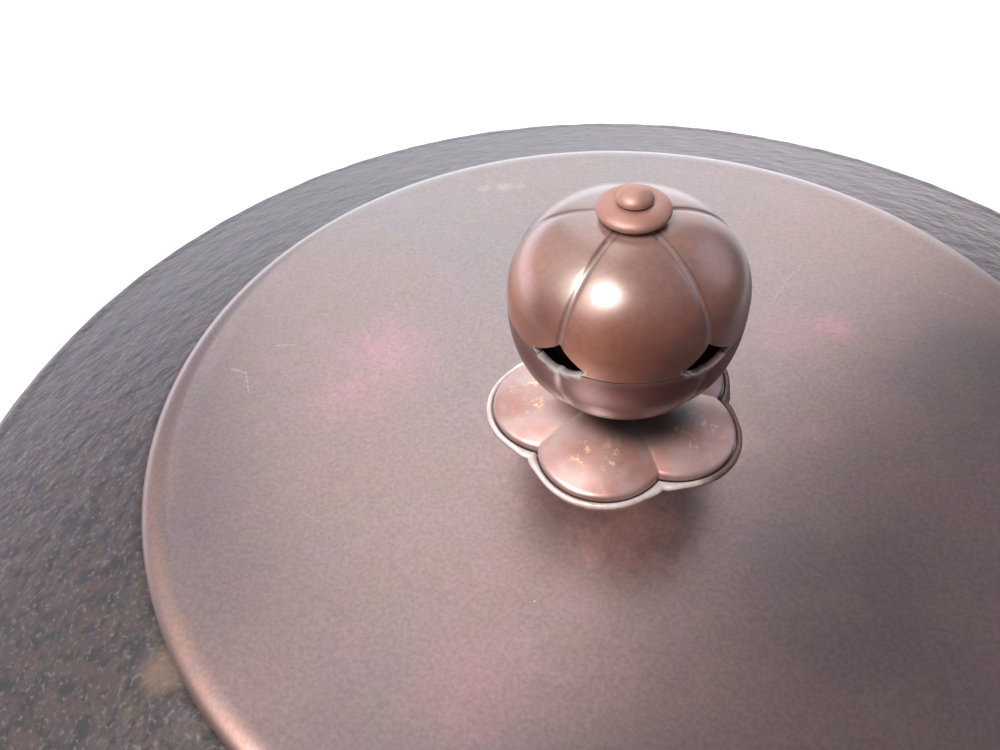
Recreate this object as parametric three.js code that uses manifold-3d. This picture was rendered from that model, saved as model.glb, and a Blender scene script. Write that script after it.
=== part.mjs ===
// Cast iron tea kettle with a domed bronze lid, a pierced knob on a petalled seat, and two lifting rings
// Millimetres, Z up, the origin at the centre of the foot, the lugs and rings on the X axis
import * as THREE from 'three';
import { mergeVertices } from 'three/addons/utils/BufferGeometryUtils.js';
import Module from 'manifold-3d';

const wasm = await Module();
wasm.setup();

// Clearances
const seatGap = 0.3;
const cutOverrun = 2;

// Counts
const bodySegments = 60;
const seatSegments = 50;
const knobSegments = 50;
const smallSegments = 20;
const petalCount = 5;
const plateCount = 3;

// Kettle body: mouth, sloping shoulder with a rounded edge, and side wall
const mouthHeight = 152;
const mouthRadius = 53;
const collarWall = 5;
const collarChamfer = 0.8;
const collarRise = 1.1;
const ledgeRadius = 66;
const ledgeThickness = 4.4;
const bodyWall = 3.2;
const bodyRadius = 108.5;
const shoulderRound = 10;
const shoulderDrop = 26.5;

// Skirt of the body, with the worn ridge where the cooking flange was broken away
const skirtRadius = 110;
const skirtTop = 64;
const skirtHeight = 52;
const ridgeOut = 2.4;
const ridgeShares = [0.25, 0.5];

// Bottom pan, set into the skirt, and the fillet that seals it
const panWall = 2.8;
const panRimHeight = 66;
const panBendHeight = 46;
const footRadius = 56;
const filletWidth = 3;
const filletHeight = 5.2;
const filletWaistShare = 0.33;

// Sounding plates and their pads inside the bottom
const plateLength = 34;
const plateWidth = 17;
const plateThickness = 2.2;
const plateCorner = 3;
const plateOut = 31;
const padInset = 2;
const padThickness = 1.4;

// Lugs on the side wall, each locked by a tenon
const lugHeight = 98;
const lugEyeRadius = 4.8;
const lugEyeSides = 16;
const lugNoseRadius = 8.6;
const lugHalfHeight = 15;
const lugWaist = 6;
const lugWidth = 15;
const lugBevel = 1.6;
const tenonWidth = 9;
const tenonHeight = 13;

// Lifting rings, which hang clear of the widest part of the body
const ringRadius = 28;
const ringWireRadius = 2.7;
const ringGap = 5;
const ringClearance = 2.4;
const ringSides = 8;
const ringSteps = 36;

// Lid and its locating ring
const lidRadius = 65;
const lidEdgeRun = 4.2;
const lidEdgeRise = 1.85;
const lidDome = 1.95;
const lidWall = 2;
const lidRestWidth = 15.5;
const locatingWall = 2;
const locatingDepth = 7;
const locatingClearance = 0.8;

// Knob seat, a plum blossom of five puffed petals
const petalRadius = 8.3;
const petalOut = 8.2;
const petalPuff = 1.5;
const seatEdge = 0.7;
const seatRise = 2.6;
const seatRisePower = 1.5;
const seatTurn = THREE.MathUtils.degToRad(-9);

// Knob ball: its half heights, and the powers of its squarish outline
const ballRadius = 14.25;
const ballHeight = 24.4;
const ballRise = 11.2;
const ballDrop = 15.2;
const ballWall = 1.6;
const ballSeamHeight = 23.3;
const ballTopPowers = { radius: 2.2, height: 2.3 };
const ballBottomPowers = { radius: 2.2, height: 2.5 };
const ballTurn = THREE.MathUtils.degToRad(-29);
const grooveDepth = 0.3;

// Pierced openings of the ball, one on each upright groove, measured from its level seam
const holeHalfWidth = 3.6;
const holeTipRise = 0.6;
const holePeakRise = 3.1;
const holeDrop = 1;
const holeHollowShare = 0.4;

// Neck, cap, pin and washer of the knob
const neckRadius = 4;
const pinRadius = 1.5;
const capRadius = 4.2;
const capThickness = 1.5;
const beadRadius = 2.1;
const beadRise = 2.1;
const washerRadius = 8;
const washerThickness = 1;
const legLength = 9;
const legWidth = 2.4;
const legThickness = 1.3;

// Finishes
const castIron = { color: 0x4a4245, roughness: 0.75, metalness: 0.6 };
const forgedIron = { color: 0x3a3435, roughness: 0.6, metalness: 0.7 };
const lacquer = { color: 0x241a18, roughness: 0.5, metalness: 0 };
const lidBronze = { color: 0x8d7268, roughness: 0.38, metalness: 0.8 };
const knobBronze = { color: 0x6d4338, roughness: 0.28, metalness: 0.8 };
const copper = { color: 0x9a5d4e, roughness: 0.35, metalness: 0.8 };

// Places worked out from the sizes above
const lidHeight = mouthHeight + seatGap;
const ledgeHeight = mouthHeight - collarRise;
const shoulderCentre = new THREE.Vector2(bodyRadius - shoulderRound, mouthHeight - shoulderDrop);
const skirtInside = skirtRadius - bodyWall;
const panRadius = skirtInside - seatGap;
const ringOut = Math.max(bodyRadius, skirtRadius + ridgeOut) + ringClearance + ringWireRadius;
const ringSag = ringRadius - Math.sqrt(ringRadius ** 2 - (lugWidth / 2 - lugBevel) ** 2);
const ringTop = lugHeight - lugEyeRadius + seatGap + ringWireRadius + ringSag;
const pinHole = pinRadius + seatGap;
const petalStep = 2 * Math.PI / petalCount;
const halfTurn = [0, 0, 180];

// A closed geometry as a solid that can be joined and cut
function solidOf(geometry) {
  geometry.deleteAttribute('normal');
  geometry.deleteAttribute('uv');
  const merged = mergeVertices(geometry);
  const corners = Array.from(merged.index.array);
  const triangles = [];
  for (let i = 0; i < corners.length; i += 3) {
    const [a, b, c] = corners.slice(i, i + 3);
    if (a !== b && b !== c && c !== a) triangles.push(a, b, c);
  }
  return new wasm.Manifold(new wasm.Mesh({
    numProp: 3,
    vertProperties: new Float32Array(merged.attributes.position.array),
    triVerts: new Uint32Array(triangles),
  }));
}

// A solid as a named mesh with a finish of its own
function piece(name, solid, finish) {
  const mesh = solid.getMesh();
  const geometry = new THREE.BufferGeometry();
  geometry.setAttribute('position', new THREE.BufferAttribute(mesh.vertProperties, 3));
  geometry.setIndex(new THREE.BufferAttribute(mesh.triVerts, 1));
  geometry.computeVertexNormals();
  const result = new THREE.Mesh(geometry, new THREE.MeshStandardMaterial(finish));
  result.name = name;
  return result;
}

// Profile points from pairs of radius and height
function profile(...pairs) {
  return pairs.map(([radius, height]) => new THREE.Vector2(radius, height));
}

// Profile points along part of an ellipse, with angles counted from the outward direction
function ellipse(centre, halfWidth, halfHeight, from, to, steps) {
  const points = [];
  for (let i = 0; i <= steps; i += 1) {
    const angle = from + (to - from) * i / steps;
    const radius = centre.x + halfWidth * Math.cos(angle);
    points.push(new THREE.Vector2(radius, centre.y + halfHeight * Math.sin(angle)));
  }
  return points;
}

// Corners of a circle about the origin
function circle(radius, sides) {
  return ellipse(new THREE.Vector2(0, 0), radius, radius, 0, 2 * Math.PI, sides).slice(1);
}

// A closed profile, drawn either way round, turned about Z from -Y
function turnedGeometry(points, segments) {
  const loop = THREE.ShapeUtils.area(points) < 0 ? [...points].reverse() : points;
  return new THREE.LatheGeometry([...loop, loop[0]], segments).rotateX(Math.PI / 2);
}

function turned(points, segments) {
  return solidOf(turnedGeometry(points, segments));
}

// A flat shape in the X and Z directions, thickened along Y about its middle
function slabAcrossY(shape, thickness, bevel) {
  const geometry = new THREE.ExtrudeGeometry(shape, {
    depth: thickness - 2 * bevel,
    bevelEnabled: bevel > 0,
    bevelThickness: bevel,
    bevelSize: bevel,
    bevelOffset: -bevel,
    bevelSegments: 2,
  });
  geometry.translate(0, 0, bevel - thickness / 2);
  return solidOf(geometry.rotateX(Math.PI / 2));
}

// Kettle body

// Direction square to the shoulder's slope, which runs from the ledge's edge into the rounded edge
function slopeNormal() {
  const across = shoulderCentre.x - ledgeRadius;
  const down = ledgeHeight - shoulderCentre.y;
  const reach = Math.hypot(across, down);
  return Math.PI - Math.atan2(down, across) - Math.acos(shoulderRound / reach);
}

// Radius at which the inside of the slope comes to a height
function slopeInsideRadius(height) {
  const angle = slopeNormal();
  const round = shoulderRound - bodyWall;
  const startRadius = shoulderCentre.x + round * Math.cos(angle);
  const startHeight = shoulderCentre.y + round * Math.sin(angle);
  return startRadius - (height - startHeight) * Math.tan(angle);
}

function bodyOutside() {
  const ridgeHeight = skirtTop - skirtHeight;
  return [
    ...profile(
      [mouthRadius, mouthHeight - collarChamfer],
      [mouthRadius + collarChamfer, mouthHeight],
      [mouthRadius + collarWall - collarChamfer, mouthHeight],
      [mouthRadius + collarWall, mouthHeight - collarChamfer],
      [mouthRadius + collarWall, ledgeHeight],
      [ledgeRadius, ledgeHeight],
    ),
    ...ellipse(shoulderCentre, shoulderRound, shoulderRound, slopeNormal(), 0, 5),
    ...profile([skirtRadius, skirtTop]),
    ...ridgeShares.map((share) => new THREE.Vector2(skirtRadius + ridgeOut, skirtTop - ridgeHeight * share)),
    ...profile([skirtRadius, skirtHeight]),
  ];
}

function bodyInside() {
  const round = shoulderRound - bodyWall;
  const ledgeUnderside = ledgeHeight - ledgeThickness;
  return [
    ...profile([skirtInside, skirtHeight], [skirtInside, skirtTop]),
    ...ellipse(shoulderCentre, round, round, 0, slopeNormal(), 4),
    ...profile(
      [slopeInsideRadius(ledgeUnderside), ledgeUnderside],
      [mouthRadius, ledgeUnderside],
    ),
  ];
}

// Outer radius of the side wall, which widens from the shoulder down to the skirt
function wallRadius(height) {
  const flare = (skirtRadius - bodyRadius) / (shoulderCentre.y - skirtTop);
  return bodyRadius + flare * (shoulderCentre.y - height);
}

// Upright block on the +X side, from one radius out to another, for a lug's tenon or its hole
function tenonBlock(from, to, clearance) {
  const width = tenonWidth + 2 * clearance;
  const height = tenonHeight + 2 * clearance;
  const box = new THREE.BoxGeometry(to - from, width, height);
  return solidOf(box.translate((from + to) / 2, 0, lugHeight));
}

function bodyShell() {
  const outside = wallRadius(lugHeight);
  const hole = tenonBlock(outside - bodyWall - cutOverrun, outside + cutOverrun, seatGap);
  const shell = turned([...bodyOutside(), ...bodyInside()], bodySegments);
  return shell.subtract(hole).subtract(hole.rotate(halfTurn));
}

// Everything inside the body's outside, and a seat gap beyond it
function wallCore() {
  const low = wallRadius(0) + seatGap;
  const top = ledgeHeight + seatGap;
  const round = shoulderRound + seatGap;
  const shoulder = ellipse(shoulderCentre, round, round, 0, slopeNormal(), 5);
  return turned([...profile([0, 0], [low, 0]), ...shoulder, ...profile([ledgeRadius, top], [0, top])], bodySegments);
}

// Lug for the +X side: a hill-shaped ear with a bell-mouthed eye along Y
function lug() {
  const back = Math.min(bodyRadius, skirtRadius) - cutOverrun - ringOut;
  const nose = ellipse(new THREE.Vector2(0, 0), lugNoseRadius, lugNoseRadius, Math.PI / 2, -Math.PI / 2, 10);
  const waist = new THREE.Vector2(-lugWaist, lugNoseRadius);
  const root = new THREE.Vector2(back, lugHalfHeight);
  const top = new THREE.QuadraticBezierCurve(root, waist, nose[0]).getPoints(5);
  const bottom = top.map((point) => new THREE.Vector2(point.x, -point.y)).reverse();
  const ear = new THREE.Shape([...top, ...nose.slice(1, -1), ...bottom]);
  ear.holes.push(new THREE.Path(circle(lugEyeRadius, lugEyeSides)));
  const block = slabAcrossY(ear, lugWidth, lugBevel).translate([ringOut, 0, lugHeight]);
  const wall = wallRadius(lugHeight);
  return block.subtract(wallCore()).add(tenonBlock(wall - bodyWall, wall + cutOverrun, 0));
}

// Lifting ring for the +X side, hanging from its lug, with its gap at one side
class RingArc extends THREE.Curve {
  getPoint(share) {
    const halfGap = (ringGap / 2 + ringWireRadius) / ringRadius;
    const angle = Math.PI / 2 + halfGap + share * 2 * (Math.PI - halfGap);
    return new THREE.Vector3(0, ringRadius * Math.sin(angle), ringRadius * Math.cos(angle));
  }
}

function liftingRing() {
  const section = new THREE.Shape(circle(ringWireRadius, ringSides));
  const wire = new THREE.ExtrudeGeometry(section, {
    steps: ringSteps,
    extrudePath: new RingArc(),
    bevelEnabled: false,
  });
  return solidOf(wire).translate([ringOut, 0, ringTop - ringRadius]);
}

// Bottom pan: an upright rim inside the skirt, a quarter of an ellipse, and a flat foot
function bottomPan() {
  const bend = new THREE.Vector2(footRadius, panBendHeight);
  const width = panRadius - footRadius;
  const outside = ellipse(bend, width, panBendHeight, -Math.PI / 2, 0, 7);
  const inside = ellipse(bend, width - panWall, panBendHeight - panWall, 0, -Math.PI / 2, 6);
  const rim = profile([panRadius, panRimHeight], [panRadius - panWall, panRimHeight]);
  return turned([...profile([0, 0]), ...outside, ...rim, ...inside, ...profile([0, panWall])], bodySegments);
}

// Fillet of lacquer in the corner under the skirt
function seamFillet() {
  const inside = panRadius + seatGap;
  const top = skirtHeight - seatGap;
  return turned(profile(
    [inside, top - filletHeight],
    [inside + filletWidth * filletWaistShare, top - filletHeight * filletWaistShare],
    [inside + filletWidth, top],
    [inside, top],
  ), bodySegments);
}

// Flat bar with round corners, lying on Z = 0
function flatBar(length, width, thickness, corner) {
  const corners = [[1, 1], [-1, 1], [-1, -1], [1, -1]];
  const points = corners.flatMap(([sideX, sideY], quarter) => {
    const centre = new THREE.Vector2(sideX * (length / 2 - corner), sideY * (width / 2 - corner));
    return ellipse(centre, corner, corner, quarter * Math.PI / 2, (quarter + 1) * Math.PI / 2, 3);
  });
  const bar = new THREE.ExtrudeGeometry(new THREE.Shape(points), { depth: thickness, bevelEnabled: false });
  return solidOf(bar);
}

// Places a solid at the azimuth and distance of one of the sounding plates
function atPlate(solid, index, height) {
  const turn = index * 360 / plateCount;
  return solid.translate([0, plateOut, height]).rotate([0, 0, turn]);
}

function soundingPlate(index) {
  const bar = flatBar(plateLength, plateWidth, plateThickness, plateCorner);
  return atPlate(bar, index, panWall + padThickness + 2 * seatGap);
}

function platePad(index) {
  const length = plateLength - 2 * padInset;
  const width = plateWidth - 2 * padInset;
  return atPlate(flatBar(length, width, padThickness, plateCorner - padInset), index, panWall + seatGap);
}

// Lid

// Height of the lid's upper face over its lower edge, inside the rounded edge
function lidTop(radius) {
  const share = radius / (lidRadius - lidEdgeRun);
  return lidEdgeRise + lidDome * (1 - share * share);
}

function lidPlate() {
  const flatRadius = lidRadius - lidEdgeRun;
  const restRadius = lidRadius - lidRestWidth;
  const domeShares = [0, 0.4, 0.75];
  const underShares = [1, 0.5, 0];
  const points = [
    ...domeShares.map((share) => {
      const radius = pinHole + (flatRadius - pinHole) * share;
      return new THREE.Vector2(radius, lidTop(radius));
    }),
    ...ellipse(new THREE.Vector2(flatRadius, 0), lidEdgeRun, lidEdgeRise, Math.PI / 2, 0, 4),
    ...profile([restRadius + lidWall, 0]),
    ...underShares.map((share) => {
      const radius = pinHole + (restRadius - pinHole) * share;
      return new THREE.Vector2(radius, lidTop(radius) - lidWall);
    }),
  ];
  return turned(points, bodySegments).translate([0, 0, lidHeight]);
}

function locatingRing() {
  const outside = mouthRadius - locatingClearance;
  const inside = outside - locatingWall;
  const top = -seatGap;
  const low = top - locatingDepth;
  const points = profile(
    [inside, low],
    [inside, top],
    [outside, top],
    [outside, low + locatingWall / 2],
    [outside - locatingWall / 2, low],
  );
  return turned(points, bodySegments).translate([0, 0, lidHeight]);
}

// Knob

// Radius of the seat's outline at an azimuth, as the edge of the nearest of its round petals
function seatOutline(azimuth) {
  const turn = azimuth - seatTurn;
  const off = turn - petalStep * Math.round(turn / petalStep);
  return petalOut * Math.cos(off) + Math.sqrt(petalRadius ** 2 - (petalOut * Math.sin(off)) ** 2);
}

// Thickness of the seat: each petal is puffed, and all rise to a flat crown under the neck
function seatTop(radius, azimuth) {
  const turn = azimuth - seatTurn;
  const off = turn - petalStep * Math.round(turn / petalStep);
  const across = radius * Math.sin(off);
  const along = radius * Math.cos(off) - petalOut;
  const share = Math.min(1, Math.hypot(across, along) / petalRadius);
  const middle = 1 - radius / (petalOut + petalRadius);
  const height = petalPuff * (1 - share ** 2) + seatRise * middle ** seatRisePower;
  return seatEdge + Math.min(seatRise, height);
}

// The seat starts as a turned washer of unit bore, width and thickness, and takes its sizes from there
function knobSeat() {
  const widthShares = [1, 0.94, 0.82, 0.66, 0.46, 0.24, 0];
  const points = [
    ...profile([1, 0], [2, 0]),
    ...widthShares.map((share) => new THREE.Vector2(1 + share, 1)),
  ];
  const geometry = turnedGeometry(points, seatSegments);
  const place = geometry.attributes.position;
  for (let i = 0; i < place.count; i += 1) {
    const azimuth = Math.atan2(place.getX(i), -place.getY(i));
    const share = Math.hypot(place.getX(i), place.getY(i)) - 1;
    const radius = pinHole + share * (seatOutline(azimuth) - pinHole);
    const under = lidTop(radius) + seatGap;
    const height = place.getZ(i) > 0.5 ? under + seatTop(radius, azimuth) : under;
    place.setXYZ(i, radius * Math.sin(azimuth), -radius * Math.cos(azimuth), height);
  }
  return solidOf(geometry).translate([0, 0, lidHeight]);
}

// Round piece with a hole for the pin, between two heights over the lid's lower edge
function disc(radius, low, high) {
  const points = profile([pinHole, low], [radius, low], [radius, high], [pinHole, high]);
  return turned(points, smallSegments).translate([0, 0, lidHeight]);
}

function knobNeck() {
  const low = lidTop(0) + 2 * seatGap + seatEdge + seatRise;
  const high = ballHeight - ballDrop - seatGap;
  return disc(neckRadius, low, high);
}

// Points of the ball's outline on one side of its widest height, from one angle to another
function ballCurve(radius, halfHeight, powers, from, to, steps) {
  const points = [];
  for (let i = 0; i <= steps; i += 1) {
    const angle = from + (to - from) * i / steps;
    const height = ballHeight + halfHeight * Math.sin(angle) ** (2 / powers.height);
    points.push(new THREE.Vector2(radius * Math.cos(angle) ** (2 / powers.radius), height));
  }
  return points;
}

// Angles on a half outline at which it comes to the pin's hole, and to a height
function holeAngle(radius, powers) {
  return Math.acos((pinHole / radius) ** (powers.radius / 2));
}

function heightAngle(height, halfHeight, powers) {
  return Math.asin((height / halfHeight) ** (powers.height / 2));
}

// Lower half outline from the seam down to the pin's hole, for the outer or the inner face
function lowerCurve(seam, wall, steps) {
  const radius = ballRadius - wall;
  const drop = ballDrop - wall;
  const from = heightAngle(ballHeight - seam, drop, ballBottomPowers);
  return ballCurve(radius, -drop, ballBottomPowers, from, holeAngle(radius, ballBottomPowers), steps);
}

function upperCurve(wall, steps) {
  const radius = ballRadius - wall;
  return ballCurve(radius, ballRise - wall, ballTopPowers, 0, holeAngle(radius, ballTopPowers), steps);
}

// Turned shell drawn in along the upright grooves, so that its five panels bulge between them
function panelledShell(points) {
  const geometry = turnedGeometry(points, knobSegments);
  const place = geometry.attributes.position;
  for (let i = 0; i < place.count; i += 1) {
    const azimuth = Math.atan2(place.getX(i), -place.getY(i));
    const share = azimuth / petalStep - Math.floor(azimuth / petalStep);
    const radius = Math.hypot(place.getX(i), place.getY(i));
    const sink = grooveDepth * (1 - Math.sin(Math.PI * share)) ** 2 * (radius / ballRadius);
    const kept = 1 - sink / radius;
    place.setXYZ(i, place.getX(i) * kept, place.getY(i) * kept, place.getZ(i));
  }
  return solidOf(geometry);
}

// Cutter for one pierced opening: a pointed arch over a shallow bowl, facing outwards
function holeCutter(index) {
  const tip = new THREE.Vector2(holeHalfWidth, holeTipRise);
  const peak = new THREE.Vector2(0, holePeakRise);
  const low = new THREE.Vector2(0, -2 * holeDrop - holeTipRise);
  const hollow = new THREE.Vector2(holeHalfWidth * holeHollowShare, (holeTipRise + holePeakRise) / 2);
  const rightSide = new THREE.QuadraticBezierCurve(tip, hollow, peak).getPoints(3);
  const leftSide = rightSide.map((point) => new THREE.Vector2(-point.x, point.y)).reverse();
  const bowl = new THREE.QuadraticBezierCurve(leftSide[3], low, tip).getPoints(5);
  const shape = new THREE.Shape([...rightSide, ...leftSide.slice(1), ...bowl.slice(1, -1)]);
  const block = new THREE.ExtrudeGeometry(shape, { depth: ballRadius, bevelEnabled: false });
  block.rotateX(Math.PI / 2).translate(0, -ballRadius / 2, ballSeamHeight);
  return solidOf(block.rotateZ(index * petalStep));
}

// A shell of the ball with its share of the pierced openings, turned to its place on the seat
function knobShell(points) {
  let shell = panelledShell(points);
  for (let index = 0; index < petalCount; index += 1) {
    shell = shell.subtract(holeCutter(index));
  }
  return shell.rotate([0, 0, THREE.MathUtils.radToDeg(ballTurn)]).translate([0, 0, lidHeight]);
}

function knobLowerShell() {
  const seam = ballSeamHeight - seatGap / 2;
  return knobShell([...lowerCurve(seam, 0, 6), ...lowerCurve(seam, ballWall, 4).reverse()]);
}

function knobUpperShell() {
  const seam = ballSeamHeight + seatGap / 2;
  const outside = [lowerCurve(seam, 0, 6)[0], ...upperCurve(0, 6)];
  const inside = [lowerCurve(seam, ballWall, 4)[0], ...upperCurve(ballWall, 4)];
  return knobShell([...outside, ...inside.reverse()]);
}

// Heights over the lid's lower edge of the pieces stacked on the pin
const capHeight = ballHeight + ballRise + seatGap;
const beadHeight = capHeight + capThickness + seatGap;
const washerHeight = lidTop(0) - lidWall - seatGap - washerThickness;
const legHeight = washerHeight - seatGap - legThickness;

function knobCap() {
  const edge = new THREE.Vector2(capRadius - capThickness / 2, capHeight + capThickness / 2);
  const round = capThickness / 2;
  const points = [
    ...profile([pinHole, capHeight]),
    ...ellipse(edge, round, round, -Math.PI / 2, Math.PI / 2, 4),
    ...profile([pinHole, capHeight + capThickness]),
  ];
  return turned(points, smallSegments).translate([0, 0, lidHeight]);
}

function knobPin() {
  const bead = ellipse(new THREE.Vector2(0, beadHeight), beadRadius, beadRise, 0, Math.PI / 2, 5);
  const points = [...profile([0, legHeight], [pinRadius, legHeight], [pinRadius, beadHeight]), ...bead];
  const shank = turned(points, smallSegments);
  const leg = flatBar(2 * legLength, legWidth, legThickness, legWidth / 3).translate([0, 0, legHeight]);
  return shank.add(leg).translate([0, 0, lidHeight]);
}

function underWasher() {
  return disc(washerRadius, washerHeight, washerHeight + washerThickness);
}

// Assembly

const body = new THREE.Group();
body.add(piece('body_shell', bodyShell(), castIron));
body.add(piece('bottom_pan', bottomPan(), castIron));
body.add(piece('seam_lacquer', seamFillet(), lacquer));
body.add(piece('lug_right', lug(), castIron));
body.add(piece('lug_left', lug().rotate(halfTurn), castIron));
for (let index = 0; index < plateCount; index += 1) {
  body.add(piece(`sounding_plate_${index + 1}`, soundingPlate(index), forgedIron));
  body.add(piece(`plate_lacquer_${index + 1}`, platePad(index), lacquer));
}

const rings = new THREE.Group();
rings.add(piece('ring_right', liftingRing(), forgedIron));
rings.add(piece('ring_left', liftingRing().rotate(halfTurn), forgedIron));

const lid = new THREE.Group();
lid.add(piece('lid_plate', lidPlate(), lidBronze));
lid.add(piece('lid_locating_ring', locatingRing(), lidBronze));
lid.add(piece('knob_seat', knobSeat(), copper));
lid.add(piece('knob_neck', knobNeck(), knobBronze));
lid.add(piece('knob_lower_shell', knobLowerShell(), knobBronze));
lid.add(piece('knob_upper_shell', knobUpperShell(), knobBronze));
lid.add(piece('knob_cap', knobCap(), copper));
lid.add(piece('knob_pin', knobPin(), copper));
lid.add(piece('under_washer', underWasher(), lidBronze));

const kettle = new THREE.Group();
kettle.add(body, rings, lid);

export default kettle;
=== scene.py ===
"""Looks of a cast iron tea kettle with a bronze lid.

Metres, Z up, the origin at the centre of the foot, the lugs and rings on the X axis. Azimuths are
counted from -Y, where the camera stands, towards +X.
"""

from __future__ import annotations

import logging
import math
from abc import ABC, abstractmethod
from collections.abc import Callable, Iterator, Sequence
from contextlib import contextmanager
from dataclasses import dataclass, field
from enum import Enum
from functools import reduce
from itertools import pairwise
from operator import mul

import bpy
from bpy.types import Material, Node, NodeSocket, NodeTree, Object, World
from mathutils import Matrix, Vector


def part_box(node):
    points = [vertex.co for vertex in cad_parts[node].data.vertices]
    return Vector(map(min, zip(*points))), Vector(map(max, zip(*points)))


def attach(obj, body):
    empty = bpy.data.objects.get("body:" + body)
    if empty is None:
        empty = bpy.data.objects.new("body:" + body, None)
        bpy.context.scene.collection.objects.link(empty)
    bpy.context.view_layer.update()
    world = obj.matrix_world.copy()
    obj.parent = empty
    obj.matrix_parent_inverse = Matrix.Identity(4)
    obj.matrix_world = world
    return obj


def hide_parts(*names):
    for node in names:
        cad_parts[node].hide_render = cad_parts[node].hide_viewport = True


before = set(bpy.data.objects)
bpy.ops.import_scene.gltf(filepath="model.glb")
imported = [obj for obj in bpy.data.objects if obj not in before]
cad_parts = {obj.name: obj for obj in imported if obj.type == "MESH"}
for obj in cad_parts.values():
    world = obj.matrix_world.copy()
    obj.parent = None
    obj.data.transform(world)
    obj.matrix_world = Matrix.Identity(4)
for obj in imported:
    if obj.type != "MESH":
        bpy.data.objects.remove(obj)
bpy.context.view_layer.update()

MM = 0.001
FULL_TURN = 2 * math.pi
WELD = 0.001 * MM

Point = tuple[float, float]
Colour = tuple[float, float, float]
Way = tuple[float, float, float]
Value = float | Colour | NodeSocket

log = logging.getLogger("kettle")


class Body(Enum):
    """The moving bodies that pieces ride on."""

    KETTLE = "kettle"
    LID = "lid"
    RIGHT_RING = "right_ring"
    LEFT_RING = "left_ring"


class Slot(Enum):
    """The record's finishes."""

    CAST_IRON = "cast_iron"
    FORGED_IRON = "forged_iron"
    LACQUER = "lacquer"
    LID_BRONZE = "lid_bronze"
    KNOB_BRONZE = "knob_bronze"
    COPPER = "copper"


class Side(Enum):
    """The two sides of the kettle, as the sign of X."""

    RIGHT = 1
    LEFT = -1


# Outlines


def arc(centre: Point, half_sizes: Point, angles: Point, steps: int) -> list[Point]:
    """Give points along part of an ellipse.

    Args:
        centre: Radius and height of the ellipse's centre.
        half_sizes: Its half width and half height.
        angles: First and last angle in degrees, counted from the outward direction.
        steps: Number of steps between the first and the last point.

    Returns:
        Pairs of radius and height.
    """
    start, end = (math.radians(angle) for angle in angles)
    points = []
    for step in range(steps + 1):
        angle = start + (end - start) * step / steps
        across, up = half_sizes[0] * math.cos(angle), half_sizes[1] * math.sin(angle)
        points.append((centre[0] + across, centre[1] + up))
    return points


def bent(start: Point, pull: Point, end: Point, steps: int) -> list[Point]:
    """Give points along a curve that leaves its start towards a pull and comes to its end from it.

    Args:
        start: The first point.
        pull: The point that draws the curve towards itself.
        end: The last point.
        steps: Number of steps between the first and the last point.

    Returns:
        Pairs of places across and up.
    """
    points = []
    for step in range(steps + 1):
        share = step / steps
        weights = ((1 - share) ** 2, 2 * share * (1 - share), share**2)
        points.append(tuple(sum(map(mul, weights, parts)) for parts in zip(start, pull, end)))
    return points


def divided(outline: Sequence[Point], longest: float) -> list[Point]:
    """Add points to an open outline until none of its steps is too long.

    Args:
        outline: Pairs of radius and height.
        longest: The longest step that may be left.

    Returns:
        The outline with the added points.
    """
    points = [outline[0]]
    for start, end in pairwise(outline):
        count = max(1, math.ceil(math.dist(start, end) / longest))
        for step in range(1, count + 1):
            share = step / count
            points.append((start[0] + (end[0] - start[0]) * share, start[1] + (end[1] - start[1]) * share))
    return points


def bell(off: float, width: float) -> float:
    """Give one where a distance is zero, fading out softly on both sides of it."""
    return math.exp(-((off / width) ** 2))


def azimuth_of(place: Vector) -> float:
    """Give the azimuth of a place in radians."""
    return math.atan2(place.x, -place.y)


def radius_of(place: Vector) -> float:
    """Give how far a place is from the axis."""
    return math.hypot(place.x, place.y)


def place_at(azimuth: float, radius: float, height: float) -> Vector:
    """Give the place at an azimuth in radians, a distance from the axis and a height."""
    return Vector((radius * math.sin(azimuth), -radius * math.cos(azimuth), height))


def nearest_turn(angle: float, count: int) -> float:
    """Give how far an angle is from the nearest of some evenly spread ones, the first of them zero."""
    step = FULL_TURN / count
    return angle - step * round(angle / step)


def facing(azimuth: float, climb: float) -> Vector:
    """Give a direction from its angles in degrees, the azimuth counted from +Y towards +X."""
    turn, rise = math.radians(azimuth), math.radians(climb)
    return Vector((math.sin(turn) * math.cos(rise), math.cos(turn) * math.cos(rise), math.sin(rise)))


# Work on meshes


def choose(piece: Object) -> None:
    """Make a piece the only selected and active object."""
    for other in bpy.context.selected_objects:
        other.select_set(False)
    piece.select_set(True)
    bpy.context.view_layer.objects.active = piece


@contextmanager
def editing(piece: Object) -> Iterator[None]:
    """Open a piece in edit mode with all of it selected, and close it again.

    Args:
        piece: The mesh object to edit.

    Yields:
        Nothing.
    """
    choose(piece)
    bpy.ops.object.mode_set(mode="EDIT")
    bpy.ops.mesh.select_mode(type="VERT")
    bpy.ops.mesh.select_all(action="SELECT")
    yield
    bpy.ops.object.mode_set(mode="OBJECT")


def drawn(name: str, path: Sequence[Vector], closed: bool) -> Object:
    """Draw a run of edges, starting from one vertex and extruding it along a path.

    Args:
        name: Name of the new object.
        path: The places to pass through.
        closed: Whether the run goes back to its first place.

    Returns:
        The new object, at the origin.
    """
    bpy.ops.mesh.primitive_plane_add(size=MM)
    piece = bpy.context.object
    piece.name = piece.data.name = name
    with editing(piece):
        bpy.ops.mesh.merge(type="CENTER")
        bpy.ops.transform.translate(value=path[0])
        for start, end in pairwise([*path, path[0]] if closed else path):
            bpy.ops.mesh.extrude_vertices_move(TRANSFORM_OT_translate={"value": end - start})
        bpy.ops.mesh.select_all(action="SELECT")
        bpy.ops.mesh.remove_doubles(threshold=WELD)
    return piece


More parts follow.
